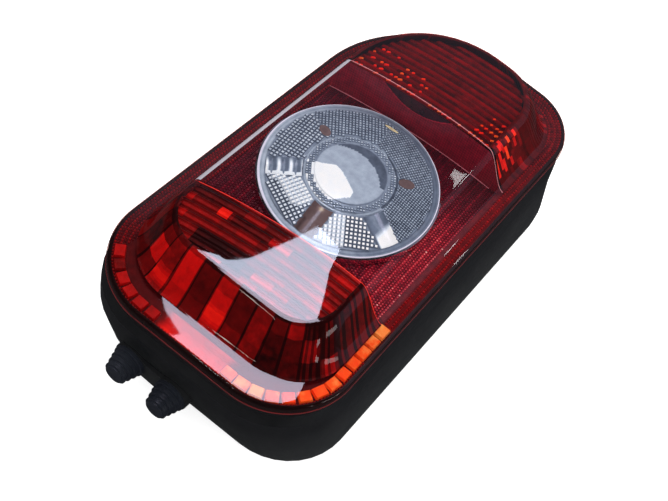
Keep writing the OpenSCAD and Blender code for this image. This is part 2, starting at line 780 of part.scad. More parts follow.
// A round-bottomed trough across the raised ring
module pocket() {
    fall = atan((dish_z(prism_in) - dish_z(prism_out)) / (prism_out - prism_in));
    translate([prism_in + 1, 0, dish_z(prism_in) - 0.4]) rotate([0, 90 + fall, 0])
        translate([-pocket_r, 0, 0])
            cylinder(h = prism_out - prism_in - 1, r = pocket_r, $fn = 64);
}
pocket_r = 9;
module lens_ring() {
    r = round_d / 2 + gap / 3;
    color([0.85, 0.87, 0.9]) translate([round_x, round_y, panel_top])
        rotate_extrude($fn = 96) polygon([[r, 0], [r + ring_w, 0],
            [r + ring_w * 0.5, round_rim_h - plate_t - 0.4], [r, round_rim_h - plate_t]]);
}

housing();
red_lens();
clear_window();
inner_panel();
round_lens();
lens_ring();
upper_reflector();
centre_reflector();
lower_reflector();
upper_bulb();
middle_bulb();
lower_bulb();
upper_bulb_cap();
middle_bulb_cap();
lower_bulb_cap();
bulb_carrier();
ground_strip();
upper_feed_strip();
middle_feed_strip();
lower_feed_strip();
lens_seal();
carrier_seal();
rear_gasket();
threaded_inserts();
left_peg_sleeve();
right_peg_sleeve();
vent_cap();
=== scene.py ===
import math
import random

import bpy
from mathutils import Matrix, Vector


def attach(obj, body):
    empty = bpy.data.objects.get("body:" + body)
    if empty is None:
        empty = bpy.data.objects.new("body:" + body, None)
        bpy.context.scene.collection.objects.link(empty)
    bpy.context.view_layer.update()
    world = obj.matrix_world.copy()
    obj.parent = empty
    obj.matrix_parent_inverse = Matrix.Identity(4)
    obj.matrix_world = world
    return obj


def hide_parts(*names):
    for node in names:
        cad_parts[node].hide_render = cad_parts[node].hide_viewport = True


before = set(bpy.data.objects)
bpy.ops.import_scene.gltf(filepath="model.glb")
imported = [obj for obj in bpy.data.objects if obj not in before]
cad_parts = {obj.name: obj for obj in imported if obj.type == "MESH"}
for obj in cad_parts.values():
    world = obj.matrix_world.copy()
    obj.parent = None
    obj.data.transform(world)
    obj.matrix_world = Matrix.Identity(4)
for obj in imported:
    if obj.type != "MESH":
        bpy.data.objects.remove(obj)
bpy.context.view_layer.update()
scene = bpy.context.scene

# Sizes in millimetres, as in the part's source
MM = 0.001
NEAR_W, FAR_W, LAMP_L, SLANT = 117.0, 102.0, 215.0, 4.0
RADII = (34.0, 34.0, 26.0, 60.0)
FOOT_RADII = (28.0, 28.0, 23.0, 54.0)
TOP_RADII = (19.0, 18.0, 20.0, 46.0)
RIM_Z, SKIRT_H, NEAR_RISE, FAR_RISE, CROWN = 50.0, 5.0, 14.0, 19.0, 1.2
FLANGE_Z = RIM_Z + SKIRT_H
FLANGE_MARGIN = (12.5, 6.5, 9.0, 6.8)
DOME_RUN = (18.0, 14.0, 9.5, 7.5)
SKIRT_ROUND, FLANGE_FALL = 2.5, 0.7
BAND_ANGLE, BOW_R = math.radians(6.5), 320.0
WINDOW_NEAR_Y, WINDOW_FAR_Y = -44.5, 46.5
ROUND_X, ROUND_Y, ROUND_R = -4.2, 2.5, 39.2
ROUND_RIM_Z, ROUND_RISE, DISC_R = RIM_Z + 5.5, 4.0, 15.6
PANEL_Z = RIM_Z + 1.6

# Camera fitted to the photo, in metres
CAMERA_AT = (0.1477, -0.348, 0.5566)
CAMERA_RIGHT = (0.759, 0.622, 0.192)
CAMERA_UP = (-0.613, 0.583, 0.534)
CAMERA_BACK = (0.220, -0.523, 0.824)
CAMERA_LENS = 80.8


# Outline
def sub(a, b):
    return (a[0] - b[0], a[1] - b[1])


def unit(v):
    n = math.hypot(*v)
    return (v[0] / n, v[1] / n)


def cross(a, b):
    return a[0] * b[1] - a[1] * b[0]


def lerp(a, b, t):
    return a + (b - a) * t


def clamp(v):
    return max(0.0, min(1.0, v))


def turned(u, v, angle):
    c, s = math.cos(angle), math.sin(angle)
    return c * u - s * v, s * u + c * v


def lerp_points(a, b, t):
    return [tuple(lerp(p, q, t) for p, q in zip(u, v)) for u, v in zip(a, b)]


NEAR_Y, FAR_Y = -LAMP_L / 2, LAMP_L / 2
CORNERS = [(-NEAR_W / 2, NEAR_Y - SLANT / 2), (NEAR_W / 2, NEAR_Y + SLANT / 2),
           (FAR_W / 2, FAR_Y), (-FAR_W / 2, FAR_Y)]


def inset(corners, margins):
    def side(i):
        return sub(corners[(i + 1) % 4], corners[i])

    def moved(i):
        d = unit(side(i))
        return (corners[i][0] - d[1] * margins[i], corners[i][1] + d[0] * margins[i])

    out = []
    for i in range(4):
        j = (i + 3) % 4
        a, b = moved(j), moved(i)
        t = cross(sub(b, a), side(i)) / cross(side(j), side(i))
        out.append((a[0] + side(j)[0] * t, a[1] + side(j)[1] * t))
    return out


def corner_arc(corners, i, r, steps):
    u = unit(sub(corners[(i + 3) % 4], corners[i]))
    v = unit(sub(corners[(i + 1) % 4], corners[i]))
    angle = math.acos(u[0] * v[0] + u[1] * v[1])
    w = unit((u[0] + v[0], u[1] + v[1]))
    away = r / math.sin(angle / 2)
    cx, cy = corners[i][0] + w[0] * away, corners[i][1] + w[1] * away
    start, turn = math.atan2(u[0], -u[1]), math.pi - angle
    return [(cx + r * math.cos(start + turn * k / steps), cy + r * math.sin(start + turn * k / steps))
            for k in range(steps + 1)]


def rounded(corners, radii, corner_steps=24, edge_steps=16):
    arcs = [corner_arc(corners, i, radii[i], corner_steps) for i in range(4)]
    ring = []
    for i in range(4):
        a, b = arcs[i][-1], arcs[(i + 1) % 4][0]
        ring += arcs[i]
        ring += [lerp_points([a], [b], k / edge_steps)[0] for k in range(1, edge_steps)]
    return ring


def ring_in(corners, radii, m, **steps):
    return rounded(inset(corners, (m,) * 4), [r - m for r in radii], **steps)


def outline(m, **steps):
    return ring_in(CORNERS, RADII, m, **steps)


FOOT_CORNERS = inset(CORNERS, FLANGE_MARGIN)
TOP_CORNERS = inset(FOOT_CORNERS, DOME_RUN)


def foot_ring(m, **steps):
    return ring_in(FOOT_CORNERS, FOOT_RADII, m, **steps)


def top_ring(m, **steps):
    return ring_in(TOP_CORNERS, TOP_RADII, m, **steps)


def at_z(ring, z):
    return [(p[0], p[1], z) for p in ring]


def rise(y):
    t = (y - TOP_CORNERS[0][1]) / (TOP_CORNERS[2][1] - TOP_CORNERS[0][1])
    return lerp(NEAR_RISE, FAR_RISE, t)


def ease(s):
    return s * s * (3 - 2 * s)


def dome_rings(m, drop, wall_steps, top_steps, **steps):
    """Rings of the dome from its foot to near the middle of its top, and how far along each is."""
    foot, top = foot_ring(m, **steps), top_ring(m, **steps)
    cx = sum(p[0] for p in top) / len(top)
    cy = sum(p[1] for p in top) / len(top)
    rings, places = [], []
    for k in range(wall_steps + 1):
        s = k / wall_steps
        ring = lerp_points(foot, top, s)
        rings.append([(x, y, FLANGE_Z + rise(y) * ease(s) - drop) for x, y in ring])
        places.append(s)
    for k in range(1, top_steps + 1):
        q = 1 - k / (top_steps + 0.5)
        ring = [(lerp(cx, x, q), lerp(cy, y, q)) for x, y in top]
        rings.append([(x, y, FLANGE_Z + rise(y) + CROWN * (1 - q * q) - drop) for x, y in ring])
        places.append(1 + k)
    return rings, places


# Window
def bow_centre(y):
    d = y - BOW_R
    return (-math.sin(BAND_ANGLE) * d, math.cos(BAND_ANGLE) * d)


NEAR_BOW, FAR_BOW = bow_centre(WINDOW_NEAR_Y), bow_centre(WINDOW_FAR_Y)


def past_near(p):
    """Above zero on the window's side of its near edge."""
    return math.hypot(p[0] - NEAR_BOW[0], p[1] - NEAR_BOW[1]) - BOW_R


def past_far(p):
    """Above zero beyond the window's far edge."""
    return math.hypot(p[0] - FAR_BOW[0], p[1] - FAR_BOW[1]) - BOW_R


# Meshes as plain lists
class Sheet:
    def __init__(self):
        self.points, self.faces, self.tags = [], [], []

    def rings(self, rings, tag=lambda i, k: 0.0, closed=True):
        base, n = len(self.points), len(rings[0])
        for r in rings:
            self.points += r
        for i in range(len(rings) - 1):
            for k in range(n if closed else n - 1):
                a, b = base + i * n + k, base + i * n + (k + 1) % n
                self.faces.append((a, b, b + n, a + n))
                self.tags.append(tag(i, k))

    def cap(self, n):
        """Closes the last ring, of n points, with a fan."""
        ring = self.points[-n:]
        mid = tuple(sum(p[j] for p in ring) / n for j in range(3))
        self.points.append(mid)
        base = len(self.points) - 1 - n
        for k in range(n):
            self.faces.append((base + k, base + (k + 1) % n, base + n))
            self.tags.append(0.0)

    def block(self, place, z, along, size, tag, taper):
        """A small upright block with a narrower top, turned along a direction."""
        c, up = Vector((*place, z)), Vector((0, 0, 1))
        a, b = Vector((*along, 0)), Vector((-along[1], along[0], 0))
        base = len(self.points)
        for lift, t in ((0, 1.0), (1, taper)):
            for sx, sy in ((-1, -1), (1, -1), (1, 1), (-1, 1)):
                p = c + a * (sx * size[0] * t / 2) + b * (sy * size[1] * t / 2) + up * (lift * size[2])
                self.points.append(tuple(p))
        for q in ((0, 1, 5, 4), (1, 2, 6, 5), (2, 3, 7, 6), (3, 0, 4, 7), (4, 5, 6, 7)):
            self.faces.append(tuple(base + i for i in q))
            self.tags.append(tag)

    def kept(self, field):
        """The part where field is above zero, cut cleanly along the line where it is zero."""
        f = [field(p) for p in self.points]
        out = Sheet()
        index, cuts = {}, {}

        def keep(i):
            if i not in index:
                index[i] = len(out.points)
                out.points.append(self.points[i])
            return index[i]

        def cut(i, j):
            key = (min(i, j), max(i, j))
            if key not in cuts:
                t = f[i] / (f[i] - f[j])
                cuts[key] = len(out.points)
                p, q = self.points[i], self.points[j]
                out.points.append(tuple(lerp(a, b, t) for a, b in zip(p, q)))
            return cuts[key]

        for face, tag in zip(self.faces, self.tags):
            poly = []
            for i, j in zip(face, face[1:] + face[:1]):
                if f[i] > 0:
                    poly.append(keep(i))
                if (f[i] > 0) != (f[j] > 0):
                    poly.append(cut(i, j))
            poly = [v for k, v in enumerate(poly) if v != poly[k - 1]]
            if len(poly) > 2:
                out.faces.append(tuple(poly))
                out.tags.append(tag)
        return out


def add(name, sheet, material, replaces=(), angle=30.0, point_tones=None):
    mesh = bpy.data.meshes.new(name)
    mesh.from_pydata([tuple(c * MM for c in p) for p in sheet.points], [], sheet.faces)
    lit = mesh.attributes.new("lit", "FLOAT", "POINT" if point_tones else "FACE")
    lit.data.foreach_set("value", [float(t) for t in point_tones or sheet.tags])
    mesh.materials.append(material)
    mesh.shade_smooth()
    mesh.set_sharp_from_angle(angle=math.radians(angle))
    mesh.update()
    obj = bpy.data.objects.new(name, mesh)
    scene.collection.objects.link(obj)
    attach(obj, "root")
    if replaces:
        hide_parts(*replaces)


# Materials
GRAIN_DEPTH = 0.0004


def blank(name):
    mat = bpy.data.materials.new(name)
    mat.use_nodes = True
    mat.node_tree.nodes.clear()
    return mat, mat.node_tree


def node(tree, kind, inputs=None, **settings):
    """A new node. Each named input gets a value, or a link where it is given a socket."""
    made = tree.nodes.new(kind)
    for key, value in settings.items():
        setattr(made, key, value)
    for key, value in (inputs or {}).items():
        if isinstance(value, bpy.types.NodeSocket):
            tree.links.new(value, made.inputs[key])
        else:
            made.inputs[key].default_value = value
    return made


def shader(tree, kind, inputs=None, **settings):
    return node(tree, "ShaderNode" + kind, inputs, **settings)


def show(tree, made, kind="OutputMaterial"):
    shader(tree, kind, {"Surface": made.outputs[0]})


def noise(tree, scale, detail=3.0):
    place = shader(tree, "TexCoord").outputs["Object"]
    values = {"Scale": scale, "Detail": detail, "Roughness": 0.55, "Vector": place}
    return shader(tree, "TexNoise", values).outputs["Fac"]


def ramp(tree, fac, stops):
    made = shader(tree, "ValToRGB", {"Fac": fac})
    marks = made.color_ramp.elements
    while len(marks) < len(stops):
        marks.new(0.5)
    for mark, (at, c) in zip(marks, stops):
        mark.position = at
        mark.color = (*c[:3], 1.0)
    return made.outputs["Color"]


def map_range(tree, value, lo, hi, to_lo, to_hi):
    values = {"Value": value, "From Min": lo, "From Max": hi, "To Min": to_lo, "To Max": to_hi}
    return shader(tree, "MapRange", values).outputs["Result"]


def maths(tree, operation, a, b):
    return shader(tree, "Math", {0: a, 1: b}, operation=operation).outputs["Value"]


def grained(tree, scale, strength):
    values = {"Strength": strength, "Distance": GRAIN_DEPTH, "Height": noise(tree, scale, 2.0)}
    return shader(tree, "Bump", values).outputs["Normal"]


def shade(c, k):
    return tuple(clamp(v * k) for v in c[:3])


def principled(name, base, rough, metallic=0.0, scale=90.0, vary=0.2, grain=0.0):
    mat, tree = blank(name)
    n = noise(tree, scale)
    colour = ramp(tree, n, [(0.3, shade(base, 1 - vary)), (0.7, shade(base, 1 + vary))])
    values = {"Base Color": colour, "Metallic": metallic,
              "Roughness": map_range(tree, n, 0.3, 0.7, rough * 0.85, rough * 1.15)}
    if grain:
        values["Normal"] = grained(tree, 1400.0, grain)
    p = shader(tree, "BsdfPrincipled", values)
    show(tree, p)
    return mat, tree, p


def varied(*values, **more):
    return principled(*values, **more)[0]


# Share of light that the skin mirrors face on and edge on
FACE_ON, EDGE_ON, FRESNEL_POWER = 0.08, 1.0, 5.0


def skin(name, tint):
    """Clear plastic seen as a thin wall: it tints what is behind it and mirrors what is above."""
    mat, tree = blank(name)
    colour = ramp(tree, noise(tree, 40.0, 2.0), [(0.3, shade(tint, 0.97)), (0.7, shade(tint, 1.03))])
    clear = shader(tree, "BsdfTransparent", {"Color": colour})
    gloss = shader(tree, "BsdfGlossy", {"Roughness": 0.02})
    facing = shader(tree, "LayerWeight").outputs["Facing"]
    steep = maths(tree, "POWER", facing, FRESNEL_POWER)
    share = map_range(tree, steep, 0.0, 1.0, FACE_ON, EDGE_ON)
    both = shader(tree, "MixShader", {"Fac": share, 1: clear.outputs[0], 2: gloss.outputs[0]})
    show(tree, both)
    return mat


def faceted(name, stops, rough=0.3, grain=0.2, level=0.5):
    """Moulded inner relief with painted light and shade: each facet of the mesh carries how much light
    it throws back, as a painted brightness that sets its colour.
    """
    mat, tree = blank(name)
    lit = shader(tree, "Attribute", attribute_name="lit").outputs["Fac"]
    speck = map_range(tree, noise(tree, 300.0), 0.3, 0.7, -0.05, 0.05)
    values = {"Base Color": ramp(tree, maths(tree, "ADD", lit, speck), stops), "Roughness": rough,
              "Specular IOR Level": level, "Normal": grained(tree, 700.0, grain)}
    p = shader(tree, "BsdfPrincipled", values)
    show(tree, p)
    return mat


SKIN_RED = skin("lens_red", (0.96, 0.6, 0.55))
SKIN_CLEAR = skin("lens_clear", (0.96, 0.95, 0.96))
# Ramps from painted brightness to colour: from painted shade, through the plastic's own colour, to
# painted glints
RED_STOPS = [(0.0, (0.014, 0.001, 0.0014)), (0.25, (0.15, 0.0028, 0.0035)), (0.5, (0.6, 0.006, 0.006)),
             (0.75, (1.0, 0.03, 0.01)), (0.9, (1.0, 0.22, 0.03)), (1.0, (1.0, 0.75, 0.2))]
PANEL_STOPS = [(0.0, (0.02, 0.004, 0.008)), (0.3, (0.13, 0.004, 0.014)), (0.6, (0.5, 0.01, 0.03)),
               (0.85, (1.0, 0.07, 0.09)), (1.0, (1.0, 0.5, 0.45))]
WINE_STOPS = [(0.0, (0.02, 0.0025, 0.004)), (0.25, (0.11, 0.004, 0.008)), (0.5, (0.4, 0.008, 0.013)),
              (0.75, (1.0, 0.03, 0.02)), (0.9, (1.0, 0.22, 0.05)), (1.0, (1.0, 0.75, 0.2))]
CLEAR_STOPS = [(0.0, (0.03, 0.04, 0.065)), (0.3, (0.16, 0.2, 0.28)), (0.55, (0.42, 0.49, 0.6)),
               (0.8, (0.85, 0.92, 1.0)), (1.0, (1.0, 1.0, 1.0))]
BROWN_STOPS = [(0.0, (0.03, 0.015, 0.018)), (0.5, (0.2, 0.13, 0.13)), (0.8, (0.55, 0.42, 0.25)),
               (1.0, (1.0, 0.85, 0.5))]
INNER_RED = faceted("inner_red", RED_STOPS, level=0.12)
INNER_WINE = faceted("inner_wine", WINE_STOPS, level=0.12)
PANEL_FACETS = faceted("panel_facets", PANEL_STOPS, rough=0.25, level=0.25)
CLEAR_FACETS = faceted("clear_facets", CLEAR_STOPS, rough=0.15, grain=0.05)


def black_paler_low(name):
    """Black moulded plastic, a little paler low down."""
    mat, tree, p = principled(name, (0.008, 0.0085, 0.01), 0.42, grain=0.12, vary=0.25)
    place = shader(tree, "TexCoord").outputs["Object"]
    height = shader(tree, "SeparateXYZ", {"Vector": place}).outputs["Z"]
    low = map_range(tree, height, 0.004, 0.034, 1.0, 0.0)
    low_colour = ramp(tree, noise(tree, 60.0), [(0.3, (0.024, 0.026, 0.028)), (0.7, (0.038, 0.04, 0.04))])
    main_colour = p.inputs["Base Color"].links[0].from_socket
    mix = shader(tree, "Mix", {0: low, 6: main_colour, 7: low_colour}, data_type="RGBA")
    tree.links.new(mix.outputs[2], p.inputs["Base Color"])
    return mat


# Painted highlights along the window's edges, red at the near end and pink at the far end
NEAR_EDGE_GLINT = varied("edge_red", (1.0, 0.03, 0.01), 0.3)
FAR_EDGE_GLINT = varied("edge_pink", (0.75, 0.3, 0.33), 0.3)
# Painted highlight along the window's left shoulder
SHOULDER_GLINT = varied("wall_white", (0.5, 0.48, 0.53), 0.3, vary=0.12)
BROWN_FACETS = faceted("brown_facets", BROWN_STOPS, rough=0.2, grain=0.05)
RIM_GLINT = varied("rim_light", (0.8, 0.78, 0.95), 0.2, vary=0.1)
# Painted highlight along the crease where the panel turns up into its end wall
CREASE_GLINT = varied("panel_crease", (0.7, 0.16, 0.2), 0.3, vary=0.15)
BLACK = black_paler_low("housing_black")
LINER = varied("liner_black", (0.006, 0.004, 0.005), 0.3)
# The lens's own red lower edge, with painted light that it catches
SKIRT_EDGE_GLINT = varied("skirt_red", (0.16, 0.01, 0.012), 0.3)
PANEL_RED = varied("panel_red", (0.2, 0.008, 0.02), 0.35, scale=300.0, vary=0.3)
CHROME = varied("reflector", (0.8, 0.81, 0.84), 0.12, metallic=1.0)
RING = varied("bright_ring", (0.9, 0.92, 0.97), 0.08, metallic=1.0)
GLASS_BULB = skin("bulb_glass", (0.95, 0.95, 0.97))
CAP = varied("bulb_cap", (0.6, 0.52, 0.36), 0.3, metallic=1.0)
CARRIER = varied("carrier_grey", (0.06, 0.06, 0.065), 0.5, grain=0.1)
BRASS = varied("contact_brass", (0.7, 0.52, 0.24), 0.3, metallic=1.0)
SEAL = varied("seal_black", (0.015, 0.015, 0.016), 0.6)
SEAL_BROWN = varied("seal_brown", (0.2, 0.06, 0.03), 0.6)
FOAM = varied("gasket_foam", (0.03, 0.03, 0.032), 0.85, grain=0.6)
RUBBER = varied("sleeve_rubber", (0.014, 0.017, 0.026), 0.45, grain=0.1)


def smooth_group(degrees):
    """Smooth shading with sharp edges where faces meet at more than an angle."""
    tree = bpy.data.node_groups.new("smooth_by_angle", "GeometryNodeTree")
    for way in ("INPUT", "OUTPUT"):
        tree.interface.new_socket("Geometry", in_out=way, socket_type="NodeSocketGeometry")
    given = node(tree, "NodeGroupInput").outputs[0]
    merge = node(tree, "GeometryNodeMergeByDistance", {"Geometry": given, "Distance": 3e-6}).outputs[0]
    faces = node(tree, "GeometryNodeSetShadeSmooth", {"Geometry": merge}, domain="FACE").outputs[0]
    angle = node(tree, "GeometryNodeInputMeshEdgeAngle").outputs["Unsigned Angle"]
    limit = {"A": angle, "B": math.radians(degrees)}
    wide = node(tree, "FunctionNodeCompare", limit, operation="GREATER_THAN").outputs["Result"]
    values = {"Geometry": faces, "Selection": wide, "Shade Smooth": False}
    edges = node(tree, "GeometryNodeSetShadeSmooth", values, domain="EDGE").outputs[0]
    node(tree, "NodeGroupOutput", {0: edges})
    return tree


SMOOTH = smooth_group(24.0)
NODE_MATERIALS = (
    (BLACK, "housing"), (PANEL_RED, "inner_panel"), (RING, "lens_ring"), (CARRIER, "bulb_carrier"),
    (CHROME, "upper_reflector centre_reflector lower_reflector"),
    (GLASS_BULB, "upper_bulb middle_bulb lower_bulb"),
    (CAP, "upper_bulb_cap middle_bulb_cap lower_bulb_cap"),
    (BRASS, "ground_strip upper_feed_strip middle_feed_strip lower_feed_strip threaded_inserts"),
    (SEAL, "lens_seal vent_cap"), (SEAL_BROWN, "carrier_seal"), (FOAM, "rear_gasket"),
    (RUBBER, "left_peg_sleeve right_peg_sleeve"),
)
for material, names in NODE_MATERIALS:
    for name in names.split():
        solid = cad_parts[name]
        solid.data.materials.clear()
        solid.data.materials.append(material)
        smoother = solid.modifiers.new("smooth", "NODES")
        smoother.node_group = SMOOTH


# The lens
def make_lens():
    r, edge_z = SKIRT_ROUND, FLANGE_Z - FLANGE_FALL
    rings = [at_z(outline(0), RIM_Z), at_z(outline(0), edge_z - r)]
    for k in range(1, 7):
        t = math.radians(15 * k)
        rings.append(at_z(outline(r * (1 - math.cos(t))), edge_z - r + r * math.sin(t)))
    edge, foot = outline(r), foot_ring(0)
    for k in range(1, 5):
        rings.append(at_z(lerp_points(edge, foot, k / 5), FLANGE_Z - FLANGE_FALL * (1 - k / 5)))
    over, _ = dome_rings(0, 0, 24, 18)
    rim, dome = Sheet(), Sheet()
    rim.rings(rings + over[:1])
    dome.rings(over)
    dome.cap(len(foot))
    near, far = dome.kept(lambda p: -past_near(p)), dome.kept(past_far)
    window = dome.kept(past_near).kept(lambda p: -past_far(p))
    add("lens_skin", joined(rim, near, far), SKIN_RED, ["red_lens"])
    add("window_skin", window, SKIN_CLEAR, ["clear_window"])


def joined(*sheets):
    out = Sheet()
    for s in sheets:
        base = len(out.points)
        out.points += s.points
        out.faces += [tuple(base + i for i in f) for f in s.faces]
        out.tags += s.tags
    return out


# Under the skirt and flange. Each ring of the liner: how far in, how deep, how much deeper further on
LINER_RINGS = ((0.3, 2.0, 0.0), (0.6, 1.0, 0.1), (1.2, 0.45, 0.3), (1.9, 0.35, 0.5), (2.0, 1.7, 0.0))


def make_skirt():
    liner = Sheet()

    def below(ring, depth, more):
        """Ring under the flange's top, deeper by more away from the near end."""
        return [(x, y, FLANGE_Z - FLANGE_FALL - depth - more * clamp((y + 100) / 40)) for x, y in ring]

    rings = [below(outline(m), depth, more) for m, depth, more in LINER_RINGS]
    liner.rings([at_z(outline(0.3), RIM_Z + 0.05)] + rings)
    add("skirt_liner", liner, LINER, angle=50)
    # The lens's red lower edge, brightened with painted light
    line = Sheet()
    line.rings([at_z(outline(-0.12), RIM_Z + z) for z in (0.05, 0.5)])
    line.rings([at_z(outline(-0.12), RIM_Z + 0.5), at_z(outline(0.1), RIM_Z + 0.62)])
    add("skirt_line", line, SKIRT_EDGE_GLINT)


FINE = {"corner_steps": 60, "edge_steps": 80}
NEAR_MIDDLE = FINE["corner_steps"] + FINE["edge_steps"] // 2


def arc_lengths(ring, start):
    """Distance along the ring from point number start, negative before it."""
    n = len(ring)
    total, run = [0.0] * n, 0.0
    steps = [math.dist(ring[k], ring[(k + 1) % n]) for k in range(n)]
    half = sum(steps) / 2
    for k in range(n):
        i = (start + k) % n
        total[i] = run if run < half else run - 2 * half
        run += steps[i]
    return total


def along_ring(ring, pitch, lo, hi):
    """Places every pitch millimetres along a ring, with the direction of the ring there."""
    along = arc_lengths(ring, NEAR_MIDDLE)
    order = sorted(range(len(ring)), key=lambda k: along[k])
    out, want = [], math.ceil(max(lo, along[order[0]]) / pitch) * pitch
    for a, b in zip(order, order[1:]):
        while want <= hi and along[a] <= want < along[b]:
            t = (want - along[a]) / (along[b] - along[a])
            p, q = ring[a], ring[b]
            out.append((want, lerp_points([p], [q], t)[0], unit(sub(q, p))))
            want += pitch
    return out


# Relief of the flange, with painted light on it. Places along it count from the middle of the near end.
FLOOR_DROP, BLOCK_DROP, DOT_DROP = 2.4, 2.3, 2.35
STRIP_FROM, STRIP_TO, STRIP_TONES = -17, 20, (0.46, 0.4, 0.34, 0.28)
BLOCK_INSET, BLOCK_PITCH, BLOCK_GAP, BLOCKS_FROM, BLOCKS_TO = 5.2, 6.4, 18, -52, 98
DOT_PITCH, DOT_SIZE = 1.5, (1.0, 1.0, 0.6)
DOT_INSETS = (2.4, 3.7, 5.0, 6.3, 7.6, 8.9, 10.2)


def make_strip():
    near = arc_lengths(outline(2.0, **FINE), NEAR_MIDDLE)
    # Painted brightness of the strip, falling off outwards and towards its ends
    fade = [max(0.0, min(1.0, (a - STRIP_FROM) / 5, (STRIP_TO - a) / 5)) for a in near]
    strip = Sheet()
    strip.rings([at_z(outline(m, **FINE), FLANGE_Z - BLOCK_DROP) for m in (2.0, 4.0, 6.0, 8.0, 11.5)],
                tag=lambda i, k: 0.14 + STRIP_TONES[i] * fade[k])
    kept = [n for n in range(len(strip.faces)) if STRIP_FROM < near[n % len(near)] < STRIP_TO]
    strip.faces, strip.tags = [strip.faces[n] for n in kept], [strip.tags[n] for n in kept]
    add("flange_strip", strip, INNER_RED)


def make_blocks(rng):
    sheet = Sheet()
    for at, p, t in along_ring(outline(BLOCK_INSET, **FINE), BLOCK_PITCH, BLOCKS_FROM, BLOCKS_TO):
        if abs(at) < BLOCK_GAP:
            continue
        # Painted light: blocks left of the middle in painted shade, those right of it lit
        lit = rng.uniform(0.24, 0.42) if at < 0 else rng.uniform(0.82, 0.99)
        size = (rng.uniform(5.3, 6.2), 4.9, 1.5)
        sheet.block(p, FLANGE_Z - BLOCK_DROP, t, size, lit, 0.85)
    add("flange_blocks", sheet, INNER_RED, angle=20)


def has_dot(at, p, row):
    """Rows of dots stop at the blocks, and are fewer on the right and at the far end."""
    m = DOT_INSETS[row]
    among_blocks = BLOCKS_FROM - 2 < at < BLOCKS_TO + 1 and m > 3
    bare = p[0] > 0 and m > 9 or p[1] > 70 and m > 8.5
    return not (among_blocks or bare or on_right(p) and row not in (1, 3))


def on_right(p):
    return p[0] > 20 and -60 < p[1] < 70


def make_dots(rng):
    dots = Sheet()
    for row, m in enumerate(DOT_INSETS):
        for at, p, t in along_ring(outline(m, **FINE), DOT_PITCH, -290, 290):
            if has_dot(at, p, row):
                # Painted light: rows alternately darker and lighter, and dots brighter on the right side
                lit = (0.34, 0.22)[row % 2] + (0.16 if on_right(p) else 0.0) + 0.12 * rng.random()
                dots.block(p, FLANGE_Z - DOT_DROP, t, DOT_SIZE, lit, 0.5)
    add("flange_dots", dots, INNER_WINE, angle=5)


def make_flange():
    floor = Sheet()
    a, b = outline(2.0), foot_ring(3.0)
    rings = [at_z(lerp_points(a, b, t), FLANGE_Z - FLOOR_DROP) for t in (0, 0.25, 0.5, 0.75, 1)]
    # Painted light: the floor is brighter on the right side
    floor.rings(rings, tag=lambda i, k: 0.27 if a[k][0] > 40 and a[k][1] > -50 else 0.14)
    add("flange_floor", floor, INNER_WINE)
    make_strip()
    rng = random.Random(2)
    make_blocks(rng)
    make_dots(rng)


# Red relief under both ends of the dome
NEAR_PITCH, NEAR_RIB, FAR_RIB, FAR_FLUTE = 9.4, 4.4, 3.4, 1.8
RIB_HALF, RIB_DROP = 60, 2.9
NEAR_PROFILE = [(0.0, 0.7), (0.15, 0.2), (0.45, 0.0), (0.7, 0.25), (0.85, 0.8)]
FAR_PROFILE = [(0.0, 0.9), (0.15, 0.0), (0.3, 0.2), (0.6, 0.9)]
# Painted brightness of each flute band on the near slope
BAND_TONES = [0.2, 0.16, 0.12, 0.2, 0.1, 0.2, 0.26, 0.42, 0.16, 0.42, 0.18, 0.24, 0.1, 0.14, 0.06, 0.1,
              0.08, 0.16, 0.12, 0.18]


def from_band(u, v):
    return turned(u, v, BAND_ANGLE)


def along_bow(u, v):
    """Place u across the band on the bowed line that crosses its middle at v."""
    return from_band(u, v - u * u / (2 * BOW_R))


def inside_ring(ring):
    """Field above zero inside a convex ring: the distance to its nearest side."""
    sides = []
    for a, b in zip(ring, ring[1:] + ring[:1]):
        if math.dist(a, b) > 1e-6:
            t = unit(sub(b, a))
            sides.append((a[0], a[1], -t[1], t[0]))
    return lambda p: min((p[0] - x) * nx + (p[1] - y) * ny for x, y, nx, ny in sides)


# Random painted brightness kept for each key, now and then a brighter painted glint
def tones(rng, lo, hi, spark, spark_share):
    kept = {}

    def tone(*key):
        if key not in kept:
            bright = rng.random() < spark_share
            kept[key] = rng.uniform(*spark) if bright else rng.uniform(lo, hi)
        return kept[key]

    return tone


def slope_sheet(m, drop, steps, look, relief, lip=None):
    rings, places = dome_rings(m, drop, steps, 1, **FINE)
    rings, places = rings[:-1], places[:-1]
    if lip:
        rings.append([(x, y, FLANGE_Z + rise(y) - drop) for x, y in top_ring(lip, **FINE)])
        places.append(1.0)
    along = arc_lengths(rings[0], NEAR_MIDDLE)
    shaped = [[relief(rings[i][k], places[i], along[k]) for k in range(len(rings[i]))]
              for i in range(len(rings))]
    sheet = Sheet()
    sheet.rings(shaped, tag=lambda i, k: look(places[i], along[k], rings[i][k]))
    return sheet


def rib_sheet(v0, v1, pitch, profile, look, seg=1.6):
    """Ribs side by side along the band: profile gives the places and depths within one rib."""
    count = int((v1 - v0) / pitch)
    half = int(RIB_HALF / seg)
    sheet, rows, tags = Sheet(), [], []
    for i in range(count):
        for t, depth in profile:
            v = v0 + pitch * (i + t)
            row = []
            for k in range(-half, half + 1):
                x, y = from_band(k * seg, v)
                bow = x * x / (2 * BOW_R)
                row.append((x, y - bow, FLANGE_Z + rise(y) - RIB_DROP - depth))
            rows.append(row)
            tags.append((i, t))
    sheet.rings(rows, tag=lambda i, k: look(tags[i][0], tags[i][1], (k - half) * seg), closed=False)
    return sheet


